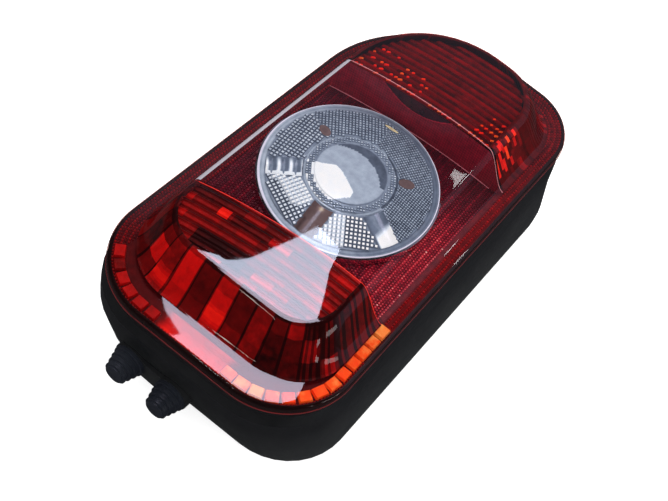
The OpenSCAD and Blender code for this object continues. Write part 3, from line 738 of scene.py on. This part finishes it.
def near_slope():
    tone = tones(random.Random(11), -0.07, 0.07, (0.15, 0.25), 0.05)

    # Painted light and shade on the flutes: a brightness for each band, painted shade along the lines
    # between bands and near the top, finer painted stripes on the right, and painted highlights on two
    # bands
    def look(s, at, p):
        band = round(at / NEAR_PITCH)
        off = at / NEAR_PITCH - band
        base = BAND_TONES[(band + 9) % len(BAND_TONES)]
        row = int(s * 3)
        line = -0.25 if abs(off) > 0.44 else 0.0
        fine = 0.0
        if at > 42:
            fine = -0.12 if int(at / 1.5) % 2 else 0.05
        hot = 0.3 * max(0.0, 1 - abs(s - 0.25) / 0.2) if band in (0, -3) else 0.0
        return base + tone(band, row) + line + fine + hot - (0.14 if s > 0.88 else 0.0)

    def relief(p, s, at):
        wave = abs(math.sin(math.pi * at / NEAR_PITCH))
        return (p[0], p[1], p[2] - 1.1 * (1 - wave) * math.sin(math.pi * s))

    sheet = slope_sheet(0.5, 0.4, 18, look, relief, lip=1.2)
    return sheet.kept(lambda p: -past_near(p) - 0.4)


def near_flat():
    tone = tones(random.Random(5), -0.08, 0.12, (0.2, 0.36), 0.1)

    # Painted light and shade on the ribs: brighter towards the right, a painted highlight spot, a darker
    # patch, and painted shade and light across each rib
    def look(i, t, u):
        seg = math.floor((u + 5.3 * i) / 9.0)
        base = 0.12 + 0.12 * clamp((u + 4) / 26) + (0.45 if i == 7 and -35 < u < -30 else 0.0)
        patch = 0.25 if -36 < u < -12 and i in (3, 4) else 0.0
        rib_shading = 0.1 if t > 0.7 else -0.1 if 0.1 < t < 0.2 else 0.0
        return base + tone(i, seg) - patch - rib_shading

    sheet = rib_sheet(-84.0, WINDOW_NEAR_Y + 5.0, NEAR_RIB, NEAR_PROFILE, look)
    inside = inside_ring(top_ring(1.0))
    return sheet.kept(inside).kept(lambda p: 1.8 - past_near(p))


def far_slope():
    tone = tones(random.Random(7), 0.08, 0.24, (0.3, 0.45), 0.08)
    streak = tones(random.Random(9), 0.08, 0.3, (0.55, 0.86), 0.34)

    # Painted light and shade: a brightness for each flute, painted glint streaks on the right, and a
    # darker lip
    def look(s, at, p):
        if s > 0.99:
            return 0.14
        if 28 < p[0] and 44 < p[1] < 64 and s > 0.3:
            return streak(round(at / 1.25), int(s * 5 + 0.6 * math.sin(at)))
        return tone(round(at / FAR_FLUTE), int(s * 2))

    def relief(p, s, at):
        return (p[0], p[1], p[2] - 0.5 * math.sin(math.pi * s) * abs(math.sin(math.pi * at / FAR_FLUTE)))

    sheet = slope_sheet(0.1, 0.12, 12, look, relief, lip=0.9)
    return sheet.kept(lambda p: past_far(p) - 0.4)


def far_flat():
    tone = tones(random.Random(8), 0.06, 0.15, (0.16, 0.24), 0.2)

    # Painted light: one face of each rib brighter, the rest a random brightness
    def look(i, t, u):
        if t < 0.3:
            return 0.28 + 0.05 * (i % 2) + 0.4 * tone(i, math.floor(u / 7.0), 1)
        return tone(i, math.floor((u + 3 * i) / 5.0))

    sheet = rib_sheet(WINDOW_FAR_Y + 1.0, 108.0, FAR_RIB, FAR_PROFILE, look, 0.8)
    inside = inside_ring(top_ring(0.8))
    return sheet.kept(inside).kept(lambda p: past_far(p) - 0.4)


# Lit ends of the far ribs: middle across the band, half width, number of ribs, share that is lit
SPARK_ZONES = ((-30.0, 10.0, 5, 0.85), (-11.0, 7.0, 4, 0.7), (14.0, 16.0, 1, 0.5), (33.0, 9.0, 5, 0.85))


def far_sparks():
    rng = random.Random(17)
    sheet = Sheet()
    inside = inside_ring(top_ring(1.5))
    along = turned(1, 0, BAND_ANGLE + 0.5)
    for middle, half, ribs, share in SPARK_ZONES:
        for i in range(ribs):
            u = middle - half
            while u < middle + half:
                u += 2.5 + rng.uniform(-0.5, 0.5)
                if rng.random() > share * (1 - 0.1 * i):
                    continue
                at = u + 1.2 * i
                x, y = along_bow(at, WINDOW_FAR_Y + 1.9 + FAR_RIB * i)
                if inside((x, y)) < 0:
                    continue
                z = FLANGE_Z + rise(y) - RIB_DROP
                size = (rng.uniform(1.2, 2.2), rng.uniform(0.8, 1.1), 0.4)
                sheet.block((x, y), z, along, size, rng.uniform(0.64, 0.9), 0.6)
    return sheet


def make_inner():
    pieces = {"near_slope": (near_slope(), INNER_RED), "near_flat": (near_flat(), INNER_RED),
              "far_slope": (far_slope(), INNER_WINE), "far_flat": (far_flat(), INNER_WINE),
              "far_sparks": (far_sparks(), INNER_RED)}
    for name, (sheet, material) in pieces.items():
        add(name, sheet, material, angle=12)


# Painted highlights where the window meets the red ends, and along its left shoulder
def dome_sheet(m, drop):
    rings, _ = dome_rings(m, drop, 24, 12, **FINE)
    sheet = Sheet()
    sheet.rings(rings)
    return sheet


def make_window_edges():
    under = dome_sheet(0.7, 0.7)
    near = under.kept(lambda p: past_near(p) + 0.35).kept(lambda p: -past_near(p))
    add("near_edge", near, NEAR_EDGE_GLINT)
    far = under.kept(lambda p: past_far(p) + 0.45).kept(lambda p: -0.1 - past_far(p))
    add("far_edge", far, FAR_EDGE_GLINT)
    # A sheet carrying a painted highlight just under the window's left shoulder
    foot, top, deep = foot_ring(0.3, **FINE), top_ring(0.3, **FINE), top_ring(0.9, **FINE)
    rows = []
    for share in (0.76, 0.82, 0.88, 0.94, 1.0):
        ring = lerp_points(foot, top, share)
        rows.append([(x, y, FLANGE_Z + rise(y) * ease(share) - 0.3) for x, y in ring])
    rows.append([(x, y, FLANGE_Z + rise(y) - 0.25) for x, y in deep])
    sheet = Sheet()
    sheet.rings(rows)
    sheet = sheet.kept(lambda p: past_near(p) - 0.6).kept(lambda p: -past_far(p) - 0.6)
    add("shoulder_light", sheet.kept(lambda p: -20.0 - p[0]), SHOULDER_GLINT)


def under_dome():
    """Height of the dome's surface over any place inside its foot."""
    foot, top = inside_ring(foot_ring(0)), inside_ring(top_ring(0))

    def height(x, y):
        f, t = foot((x, y)), top((x, y))
        share = 1.0 if t > 0 else max(0.0, f / (f - t))
        return FLANGE_Z + rise(y) * ease(share)

    return height


WALL_FOOT, WALL_LEAN = 1.2, 0.5
SHADED_OPENING_DEEP, SHADED_OPENING_HALF, SHADED_OPENING_MIDDLE = 7.5, 17.0, 1.0


def make_end_wall():
    """The panel turns up at its far edge and ends under the dome, with painted shade standing for an
    opening at its top, edged with a painted highlight.
    """
    us = [lerp(-50, 50, k / 200) for k in range(201)]
    height = under_dome()
    rows, point_tones = [], []
    for share in [k / 50 for k in range(51)]:
        row = []
        for u in us:
            x, y = along_bow(u, WINDOW_FAR_Y - WALL_FOOT - WALL_LEAN * share)
            top = max(PANEL_Z + 0.2, height(x, y) - 0.5)
            z = lerp(PANEL_Z + 0.1, top, share)
            row.append((x, y, z))
            # Painted shade in the shaded opening, and a painted highlight round its edge
            shaded_opening = SHADED_OPENING_DEEP * (1 - ((u - SHADED_OPENING_MIDDLE) / SHADED_OPENING_HALF) ** 2)
            if top - z < shaded_opening:
                tone = 0.05
            elif top - z < shaded_opening + 0.6:
                tone = 0.62
            else:
                tone = 0.38 + 0.06 * math.sin(u * 5.2) + 0.05 * math.sin(z * 4.1)
            point_tones.append(tone)
        rows.append(row)
    sheet = Sheet()
    sheet.rings(rows, closed=False)
    inside = inside_ring(foot_ring(1.5))
    sheet.faces = [f for f in sheet.faces if all(inside(sheet.points[i]) > 0 for i in f)]
    add("end_wall", sheet, PANEL_FACETS, angle=60, point_tones=point_tones)
    # A strip with a painted highlight along the crease
    line = Sheet()
    for off, lift in ((-1.7, 0.8), (-2.15, 0.75)):
        line.points += [(*along_bow(u, WINDOW_FAR_Y + off), PANEL_Z + lift) for u in us]
    n = len(us)
    line.faces = [(k, k + 1, n + k + 1, n + k) for k in range(n - 1) if abs(us[k]) < 45]
    line.tags = [0.0] * len(line.faces)
    add("panel_crease", line, CREASE_GLINT)


# Panel under the window, with rows of fine prisms
PANEL_PITCH, PANEL_HALF = 1.35, 75


def make_panel():
    rng = random.Random(21)
    inside = inside_ring(outline(4.2))
    sheet = Sheet()
    turn = math.atan2((NEAR_W - FAR_W) / 2, LAMP_L)
    half = int(PANEL_HALF / PANEL_PITCH)
    size = (PANEL_PITCH * 0.95, PANEL_PITCH * 0.95, 0.5)
    for i in range(-half, half + 1):
        for j in range(-half, half + 1):
            p = turned(i * PANEL_PITCH, (j + 0.5 * (i % 2)) * PANEL_PITCH, turn)
            q = math.hypot(p[0] - ROUND_X, p[1] - ROUND_Y)
            if q < ROUND_R + 1.2 or inside(p) < 0.8 or past_near(p) < 1.2 or past_far(p) > -1.2:
                continue
            # Painted light: prisms brighter towards the right and every third row, with tops lighter
            # than their sides
            right = clamp((p[0] - 14) / 20) * clamp((34 - p[1]) / 24)
            streak = 0.08 if i % 3 == 0 else 0.0
            tone = 0.16 + 0.2 * right + streak * (1 + right) + 0.12 * rng.random() ** 3
            sheet.block(p, PANEL_Z + 0.05, turned(1, 0, turn), size, tone, 0.45)
            sheet.tags[-1] = tone + 0.08 + 0.3 * right * rng.random()
    add("panel_prisms", sheet, PANEL_FACETS, angle=5)


# Round lens: a dish with small prisms in patches between smooth pockets
PRISM_IN, PRISM_OUT = 20.4, 35.8
POCKETS, POCKET_HALF, FIRST_POCKET = 6, 5.0, 36.0
OPEN_POCKETS = (3, 4, 5)
# Pale reflection over the round lens, from its middle
PALE = [(-33.0, -11.5), (-22.0, -9.0), (-12.1, -5.2), (-6.9, -1.6), (-2.8, -2.5), (6.6, -7.0),
        (7.4, -9.8), (2.0, -16.9), (-0.7, -21.0), (-7.6, -29.0), (-14.5, -25.5), (-24.0, -23.5)]
# Pitch of the prisms in each patch, and the painted brightness of their tops and sides
PATCHES = ((1.2, 0.46, 0.2), (1.45, 0.5, 0.24), (1.7, 0.6, 0.24), (1.8, 0.74, 0.24), (1.8, 1.0, 0.22),
           (1.15, 0.48, 0.14))
BAND_PITCH, BAND_OUT = 1.25, 19.0


def dish_z(q):
    return ROUND_RIM_Z + ROUND_RISE * (1 - (q / ROUND_R) ** 2)


def in_polygon(p, polygon):
    inside = False
    for a, b in zip(polygon, polygon[1:] + polygon[:1]):
        if (a[1] > p[1]) != (b[1] > p[1]):
            if p[0] < (b[0] - a[0]) * (p[1] - a[1]) / (b[1] - a[1]) + a[0]:
                inside = not inside
    return inside


def pocket_at(x, y):
    """Number of the pocket at this side of the dish, and how far it is across from its middle."""
    step = 360 / POCKETS
    a = math.degrees(math.atan2(y, x)) - FIRST_POCKET
    k = round(a / step)
    off = math.radians(a - k * step) * math.hypot(x, y)
    return k % POCKETS, off


# Painted light and shade on the round lens: a painted shadow as a dark crescent in the disc, the painted
# pale reflection, a painted dark arc inside the prisms on the upper right, and the outer band lit more
# towards its near left
def dish_tone(x, y, q):
    if q < DISC_R:
        across = math.hypot(x + 2.2, y + 8.2)
        if across > 19.0 and y > 0.1 * x + 2:
            return 0.12
        return 0.97 if in_polygon((x, y), PALE) else 0.5
    if q < 19.3:
        return 0.92 if in_polygon((x, y), PALE) else 0.36
    if q < PRISM_IN:
        return 0.1 if -10 < math.degrees(math.atan2(y, x)) < 75 else 0.5
    if q > PRISM_OUT:
        side = math.cos(math.atan2(y, x) - math.radians(215))
        return 0.36 + 0.16 * side + (0.12 if q > ROUND_R - 1.4 else 0.0) + 0.06 * math.sin(q * 3.1)
    return 0.35


# Radius and height over the dish along its section
DISH_PROFILE = [(0.01, 0.8), (DISC_R, 0.8), (DISC_R + 0.3, 0.4), (19.2, 0.4), (19.5, -0.2), (20.1, -0.2),
                (PRISM_IN, 0.1), (PRISM_OUT, 0.1), (PRISM_OUT + 0.4, -0.3), (37.2, -0.2),
                (ROUND_R - 0.9, 0.0), (ROUND_R - 0.3, 0.15), (ROUND_R, -0.2)]
ROUND_STEPS = 300


def make_dish():
    radial, height = [], []
    for (q0, h0), (q1, h1) in zip(DISH_PROFILE, DISH_PROFILE[1:]):
        steps = max(1, round((q1 - q0) / 0.55))
        radial += [lerp(q0, q1, k / steps) for k in range(steps)]
        height += [lerp(h0, h1, k / steps) for k in range(steps)]
    radial += [ROUND_R, ROUND_R]
    height += [-0.2, PANEL_Z - dish_z(ROUND_R)]
    around = [2 * math.pi * k / ROUND_STEPS for k in range(ROUND_STEPS)]
    rings, point_tones = [], []
    for q, h in zip(radial, height):
        ring = []
        for a in around:
            x, y = q * math.cos(a), q * math.sin(a)
            sink = 0.0
            if PRISM_IN - 0.1 < q < PRISM_OUT + 0.1:
                k_pocket, off = pocket_at(x, y)
                sink = 1.3 * max(0.0, 1 - (off / POCKET_HALF) ** 2) if k_pocket in OPEN_POCKETS else 0.0
            ring.append((ROUND_X + x, ROUND_Y + y, dish_z(q) + h - sink))
            point_tones.append(dish_tone(x, y, q))
        rings.append(ring)
    sheet = Sheet()
    sheet.rings(rings)
    sheet.faces = [f[::-1] for f in sheet.faces]
    add("round_dish", sheet, CLEAR_FACETS, ["round_lens"], 25, point_tones)
    make_rim(around)


def make_rim(around):
    """Painted highlight round the round lens, widest on its near left."""
    rim, rings = Sheet(), []
    for lean, h in ((1.0, 0.42), (0.0, 0.36), (-0.1, 0.0)):
        ring = []
        for a in around:
            wide = 0.4 + 0.55 * max(0.0, math.cos(a - math.radians(225))) ** 2
            q = ROUND_R - 0.05 - wide * lean
            ring.append((ROUND_X + q * math.cos(a), ROUND_Y + q * math.sin(a), ROUND_RIM_Z + h))
        rings.append(ring)
    rim.rings(rings)
    add("round_rim", rim, RIM_GLINT)


def frustum(sheet, corners, top, lit_top, lit_side):
    base = len(sheet.points)
    sheet.points += corners + top
    for k in range(4):
        sheet.faces.append((base + k, base + (k + 1) % 4, base + 4 + (k + 1) % 4, base + 4 + k))
        # Painted shade: every other side is darker
        sheet.tags.append(lit_side if k % 2 else lit_side * 0.7)
    sheet.faces.append(tuple(base + 4 + k for k in range(4)))
    sheet.tags.append(lit_top)


def grid_place(u, v, a, lift):
    x, y = turned(u, v, a)
    return (ROUND_X + x, ROUND_Y + y, dish_z(math.hypot(x, y)) + lift)


def pyramid(sheet, u, v, a, half, lift, height, lit_top, lit_side, top=0.5):
    square = ((-1, -1), (1, -1), (1, 1), (-1, 1))
    low = [grid_place(u + du * half, v + dv * half, a, lift) for du, dv in square]
    high = [grid_place(u + du * half * top, v + dv * half * top, a, lift + height) for du, dv in square]
    frustum(sheet, low, high, lit_top, lit_side)


def make_round_prisms():
    rng = random.Random(31)
    sheet = Sheet()
    step = 360 / POCKETS
    for patch, (pitch, lit_top, lit_side) in enumerate(PATCHES):
        a = math.radians(FIRST_POCKET + (patch + 0.5) * step)
        count = int(PRISM_OUT / pitch)
        for i in range(1, count + 1):
            for j in range(-count, count + 1):
                u, v = i * pitch, j * pitch
                q = math.hypot(u, v)
                x, y = turned(u, v, a)
                if not PRISM_IN + 0.3 < q < PRISM_OUT or abs(math.atan2(v, u)) > math.radians(step / 2):
                    continue
                k, off = pocket_at(x, y)
                if abs(off) < POCKET_HALF and k in OPEN_POCKETS:
                    continue
                wobble = rng.uniform(-0.06, 0.06)
                top, side = min(1, lit_top + wobble), lit_side + wobble
                # Painted reflection where the pale reflection crosses the prisms, and lit sides on part
                # of one patch
                if patch in (3, 4) and in_polygon((x, y), PALE):
                    top, side = 0.97, 0.8
                elif patch == 4 and v < -1.0:
                    side = 0.8
                pyramid(sheet, u, v, a, pitch / 2, 0.1, pitch * 0.25, top, side, 0.55)
    pitch, a = BAND_PITCH, math.radians(FIRST_POCKET)
    count = int(BAND_OUT / pitch) + 1
    for i in range(-count, count + 1):
        for j in range(-count, count + 1):
            u, v = i * pitch, j * pitch
            if DISC_R + 0.9 < math.hypot(u, v) < BAND_OUT:
                pyramid(sheet, u, v, a, pitch / 2, 0.4, 0.3, 0.5 + rng.uniform(-0.1, 0.2), 0.34, 0.45)
    add("round_prisms", sheet, CLEAR_FACETS, angle=1)


def pocket_tone(k, u, t):
    """Tone at share u outwards and share t across, as each pocket catches the light."""
    if k == 3:
        if t > 0.45:
            return 0.86
        stroke = max(0.0, math.cos(2 * math.pi * (3 * u - 0.12 * t * t) + 0.6))
        return 0.25 + 0.75 * stroke ** 1.5 * max(0.0, 1 - abs(t) ** 3)
    if k == 4:
        glint = max(0.0, 1 - abs(u - 0.08) / 0.14) * max(0.0, 1 - abs(t + 0.1) / 0.5)
        return 0.34 + 0.1 * t + 0.5 * glint - (0.12 * math.cos(9 * t) if u > 0.55 else 0.0)
    lit = clamp((u - 0.46 + 0.12 * t) * 5)
    return lerp(0.36 - 0.2 * abs(t), 0.98, lit * clamp((t + 0.8) * 5))


def make_pockets():
    """Smooth shells in the open pockets, with painted highlights and a painted reflection on them."""
    rows, cols = 40, 20
    shares = [lerp(-1, 1, j / cols) for j in range(cols + 1)]
    for k, name in zip(OPEN_POCKETS, ("stroke_pocket", "brown_pocket", "pale_glint_pocket")):
        a = math.radians(FIRST_POCKET + k * 360 / POCKETS)
        sheet, point_tones, rings = Sheet(), [], []
        for i in range(rows + 1):
            u = lerp(PRISM_IN + 0.2, PRISM_OUT - 0.2, i / rows)
            wave = 0.2 * math.cos(6 * math.pi * i / rows) if k == 3 else 0.0
            rings.append([grid_place(u, t * POCKET_HALF * 0.93, a, 0.15 - 1.2 * (1 - t * t) + wave)
                          for t in shares])
            point_tones += [pocket_tone(k, i / rows, t) for t in shares]
        sheet.rings(rings, closed=False)
        material = BROWN_FACETS if k == 4 else CLEAR_FACETS
        add(name, sheet, material, angle=40, point_tones=point_tones)


# Closed pockets: number, radius of the middle, half length, half width and tone of what shows there
LEAVES = ((0, 24.0, 3.6, 2.4, 0.3), (1, 33.6, 0.7, 3.4, 0.97), (2, 24.5, 3.4, 2.2, 0.38))
LEAF_STEPS = 24


def make_leaves():
    """Small brown leaves and a yellow glint in the closed pockets."""
    leaves, n = Sheet(), LEAF_STEPS
    for k, middle, half_u, half_v, lit in LEAVES:
        a = math.radians(FIRST_POCKET + k * 360 / POCKETS)
        rings = []
        for size in (1.0, 0.5):
            edge = [(middle + half_u * size * math.cos(b), half_v * size * math.sin(b))
                    for b in [math.radians(360 / n * j) for j in range(n)]]
            rings.append([grid_place(u, v, a, 0.55) for u, v in edge])
        leaves.rings(rings, tag=lambda i, j: lit)
        leaves.faces.append(tuple(range(len(leaves.points) - n, len(leaves.points))))
        leaves.tags.append(lit * 0.9)
    add("pocket_leaves", leaves, BROWN_FACETS)


# Camera, floor and light
FLOOR_HALF = 4.0


def make_camera():
    cam = bpy.data.cameras.new("camera")
    cam.lens, cam.sensor_width = CAMERA_LENS, 36.0
    cam.clip_start, cam.clip_end = 0.01, 20.0
    obj = bpy.data.objects.new("camera", cam)
    right, up, back = Vector(CAMERA_RIGHT), Vector(CAMERA_UP), Vector(CAMERA_BACK)
    turn = Matrix((right, up, back)).transposed()
    obj.matrix_world = Matrix.Translation(CAMERA_AT) @ turn.to_4x4()
    scene.collection.objects.link(obj)
    scene.camera = obj


def stage_object(name, points, faces, material):
    mesh = bpy.data.meshes.new(name)
    mesh.from_pydata(points, [], faces)
    mesh.materials.append(material)
    obj = bpy.data.objects.new(name, mesh)
    scene.collection.objects.link(obj)
    return obj


def glow(name, colour, strength):
    mat, tree = blank(name)
    show(tree, shader(tree, "Emission", {"Color": (*colour, 1), "Strength": strength}))
    return mat


def ray_kind(tree, kind):
    return shader(tree, "LightPath").outputs[kind]


def ray_level(tree, plain, camera, glossy):
    """Strength for all rays but camera rays and mirror rays, which get their own."""
    first = map_range(tree, ray_kind(tree, "Is Camera Ray"), 0.0, 1.0, plain, camera)
    values = {"Factor": ray_kind(tree, "Is Glossy Ray"), "A": first, "B": glossy}
    return shader(tree, "Mix", values, data_type="FLOAT").outputs["Result"]


def pick(tree, shown, mirror):
    """One shader for what is seen and lit, another for mirror reflections."""
    values = {"Fac": ray_kind(tree, "Is Glossy Ray"), 1: shown.outputs[0], 2: mirror.outputs[0]}
    return shader(tree, "MixShader", values)


def make_floor():
    mat, tree = blank("floor_pale")
    pale = shader(tree, "BsdfDiffuse", {"Color": (0.9, 0.9, 0.9, 1)})
    dark = shader(tree, "BsdfDiffuse", {"Color": (0.05, 0.05, 0.055, 1)})
    light = shader(tree, "Emission", {"Strength": ray_level(tree, 0.0, 0.7, 0.0)})
    shown = shader(tree, "AddShader", {0: pale.outputs[0], 1: light.outputs[0]})
    show(tree, pick(tree, shown, dark))
    s = FLOOR_HALF
    stage_object("floor", [(-s, -s, 0), (s, -s, 0), (s, s, 0), (-s, s, 0)], [(0, 1, 2, 3)], mat)


def make_world():
    """White room; in mirror reflections dark, with a violet-grey haze towards the far side."""
    world = bpy.data.worlds.new("world")
    scene.world = world
    world.use_nodes = True
    tree = world.node_tree
    tree.nodes.clear()
    level = ray_level(tree, 0.92, 1.0, 1.0)
    room = shader(tree, "Background", {"Color": (1, 1, 1, 1), "Strength": level})
    way = shader(tree, "TexCoord").outputs["Generated"]
    axes = shader(tree, "SeparateXYZ", {"Vector": way})
    low = map_range(tree, axes.outputs["Z"], 0.72, 0.85, 0.26, 0.0)
    far = map_range(tree, axes.outputs["Y"], 0.2, 0.5, 0.0, 1.0)
    haze = maths(tree, "ADD", maths(tree, "MULTIPLY", low, far), 0.02)
    mirror = shader(tree, "Background", {"Color": (0.78, 0.72, 0.95, 1), "Strength": haze})
    show(tree, pick(tree, room, mirror), "OutputWorld")


# Bright cards that only mirror rays see. Those overhead are outlines seen from above, in millimetres:
# their mirror images lie on the near flat, on the flange, and as fine lines on the near slope.
CARD_Z = 1000.0
CARD_EDGE = [(-309, 257), (-288, 248), (-253, 241), (-217, 253), (-165, 264), (-103, 287), (-89, 318)]
FLAT_CARD = CARD_EDGE + [(-128, 359), (-144, 381), (-170, 412), (-180, 450), (-250, 450), (-256, 415),
                         (-267, 370), (-273, 346), (-283, 327), (-300, 306)]
FLANGE_CARD = [(-20, 300), (-89, 318)] + CARD_EDGE[-2::-1] + [
    (-314, 224), (-300, 214), (-270, 205), (-262, 20), (-20, 20)]
LINE_CARD = [(-228, -405), (-210, -405), (-196, -525), (-98, -635), (-112, -655), (-214, -540)]
TOP_CARDS = {
    "flat_card": (9.5, (0.72, 0.8, 1.0), FLAT_CARD),
    "flange_card": (6.5, (0.85, 0.8, 1.0), FLANGE_CARD),
    "line_card": (6.0, (1.0, 1.0, 1.0), LINE_CARD),
}
# Cards beside the lamp, corners in metres
SIDE_WHITE = (1.0, 0.98, 1.0)
SIDE_CARDS = {
    "corner_card": (1.6, [(2.8, -0.1, 0.75), (2.8, 0.85, 0.52), (2.8, 0.9, 1.0), (2.8, -0.1, 1.25)]),
    "dot_card": (2.2, [(2.8, -0.8, 0.85), (2.8, -0.58, 0.85), (2.8, -0.58, 1.15), (2.8, -0.8, 1.15)]),
}


def arc_card(middle, plane_y, arc):
    """Corners of a bent card facing the lens: arc lists angle, inner and outer distance from middle."""
    def place(degrees, r):
        a = math.radians(degrees)
        return (middle[0] + r * math.cos(a), plane_y, middle[1] + r * math.sin(a))

    return [place(a, inner) for a, inner, _ in arc] + [place(a, outer) for a, _, outer in reversed(arc)]


ARC_MIDDLE, ARC_Y, ARC_STRENGTH = (0.035, 0.07), 0.625, 5.0
SHOULDER_ARCS = {
    "shoulder_card_high": [(97, 0.893, 0.908), (92, 0.88, 0.915), (87, 0.868, 0.913)],
    "shoulder_card_low": [(72, 0.835, 0.87), (64, 0.828, 0.865), (54, 0.818, 0.855)],
}


# Name, place in metres, size and power
LAMPS = (("key", (-0.5, 0.5, 1.3), 1.2, 8.0), ("side", (1.2, 0.2, 0.6), 0.8, 4.0))


def make_card(name, corners, colour, strength):
    card = stage_object(name, corners, [tuple(range(len(corners)))], glow(name, colour, strength))
    card.visible_diffuse = card.visible_camera = card.visible_shadow = False


def make_lights():
    for name, (strength, colour, corners) in TOP_CARDS.items():
        make_card(name, [(x * MM, y * MM, CARD_Z * MM) for x, y in corners], colour, strength)
    for name, (strength, corners) in SIDE_CARDS.items():
        make_card(name, corners, SIDE_WHITE, strength)
    for name, arc in SHOULDER_ARCS.items():
        make_card(name, arc_card(ARC_MIDDLE, ARC_Y, arc), SIDE_WHITE, ARC_STRENGTH)
    for name, at, size, power in LAMPS:
        light = bpy.data.lights.new(name, "AREA")
        light.shape, light.size, light.energy = "SQUARE", size, power
        obj = bpy.data.objects.new(name, light)
        obj.location = at
        obj.rotation_mode = "QUATERNION"
        obj.rotation_quaternion = (Vector(at) - Vector((0, 0, 0.05))).to_track_quat("Z", "Y")
        obj.visible_glossy = False
        scene.collection.objects.link(obj)


make_camera()
make_lens()
make_skirt()
make_flange()
make_inner()
make_window_edges()
make_end_wall()
make_panel()
make_dish()
make_round_prisms()
make_pockets()
make_leaves()
make_floor()
make_world()
make_lights()
scene.view_settings.view_transform = "Standard"
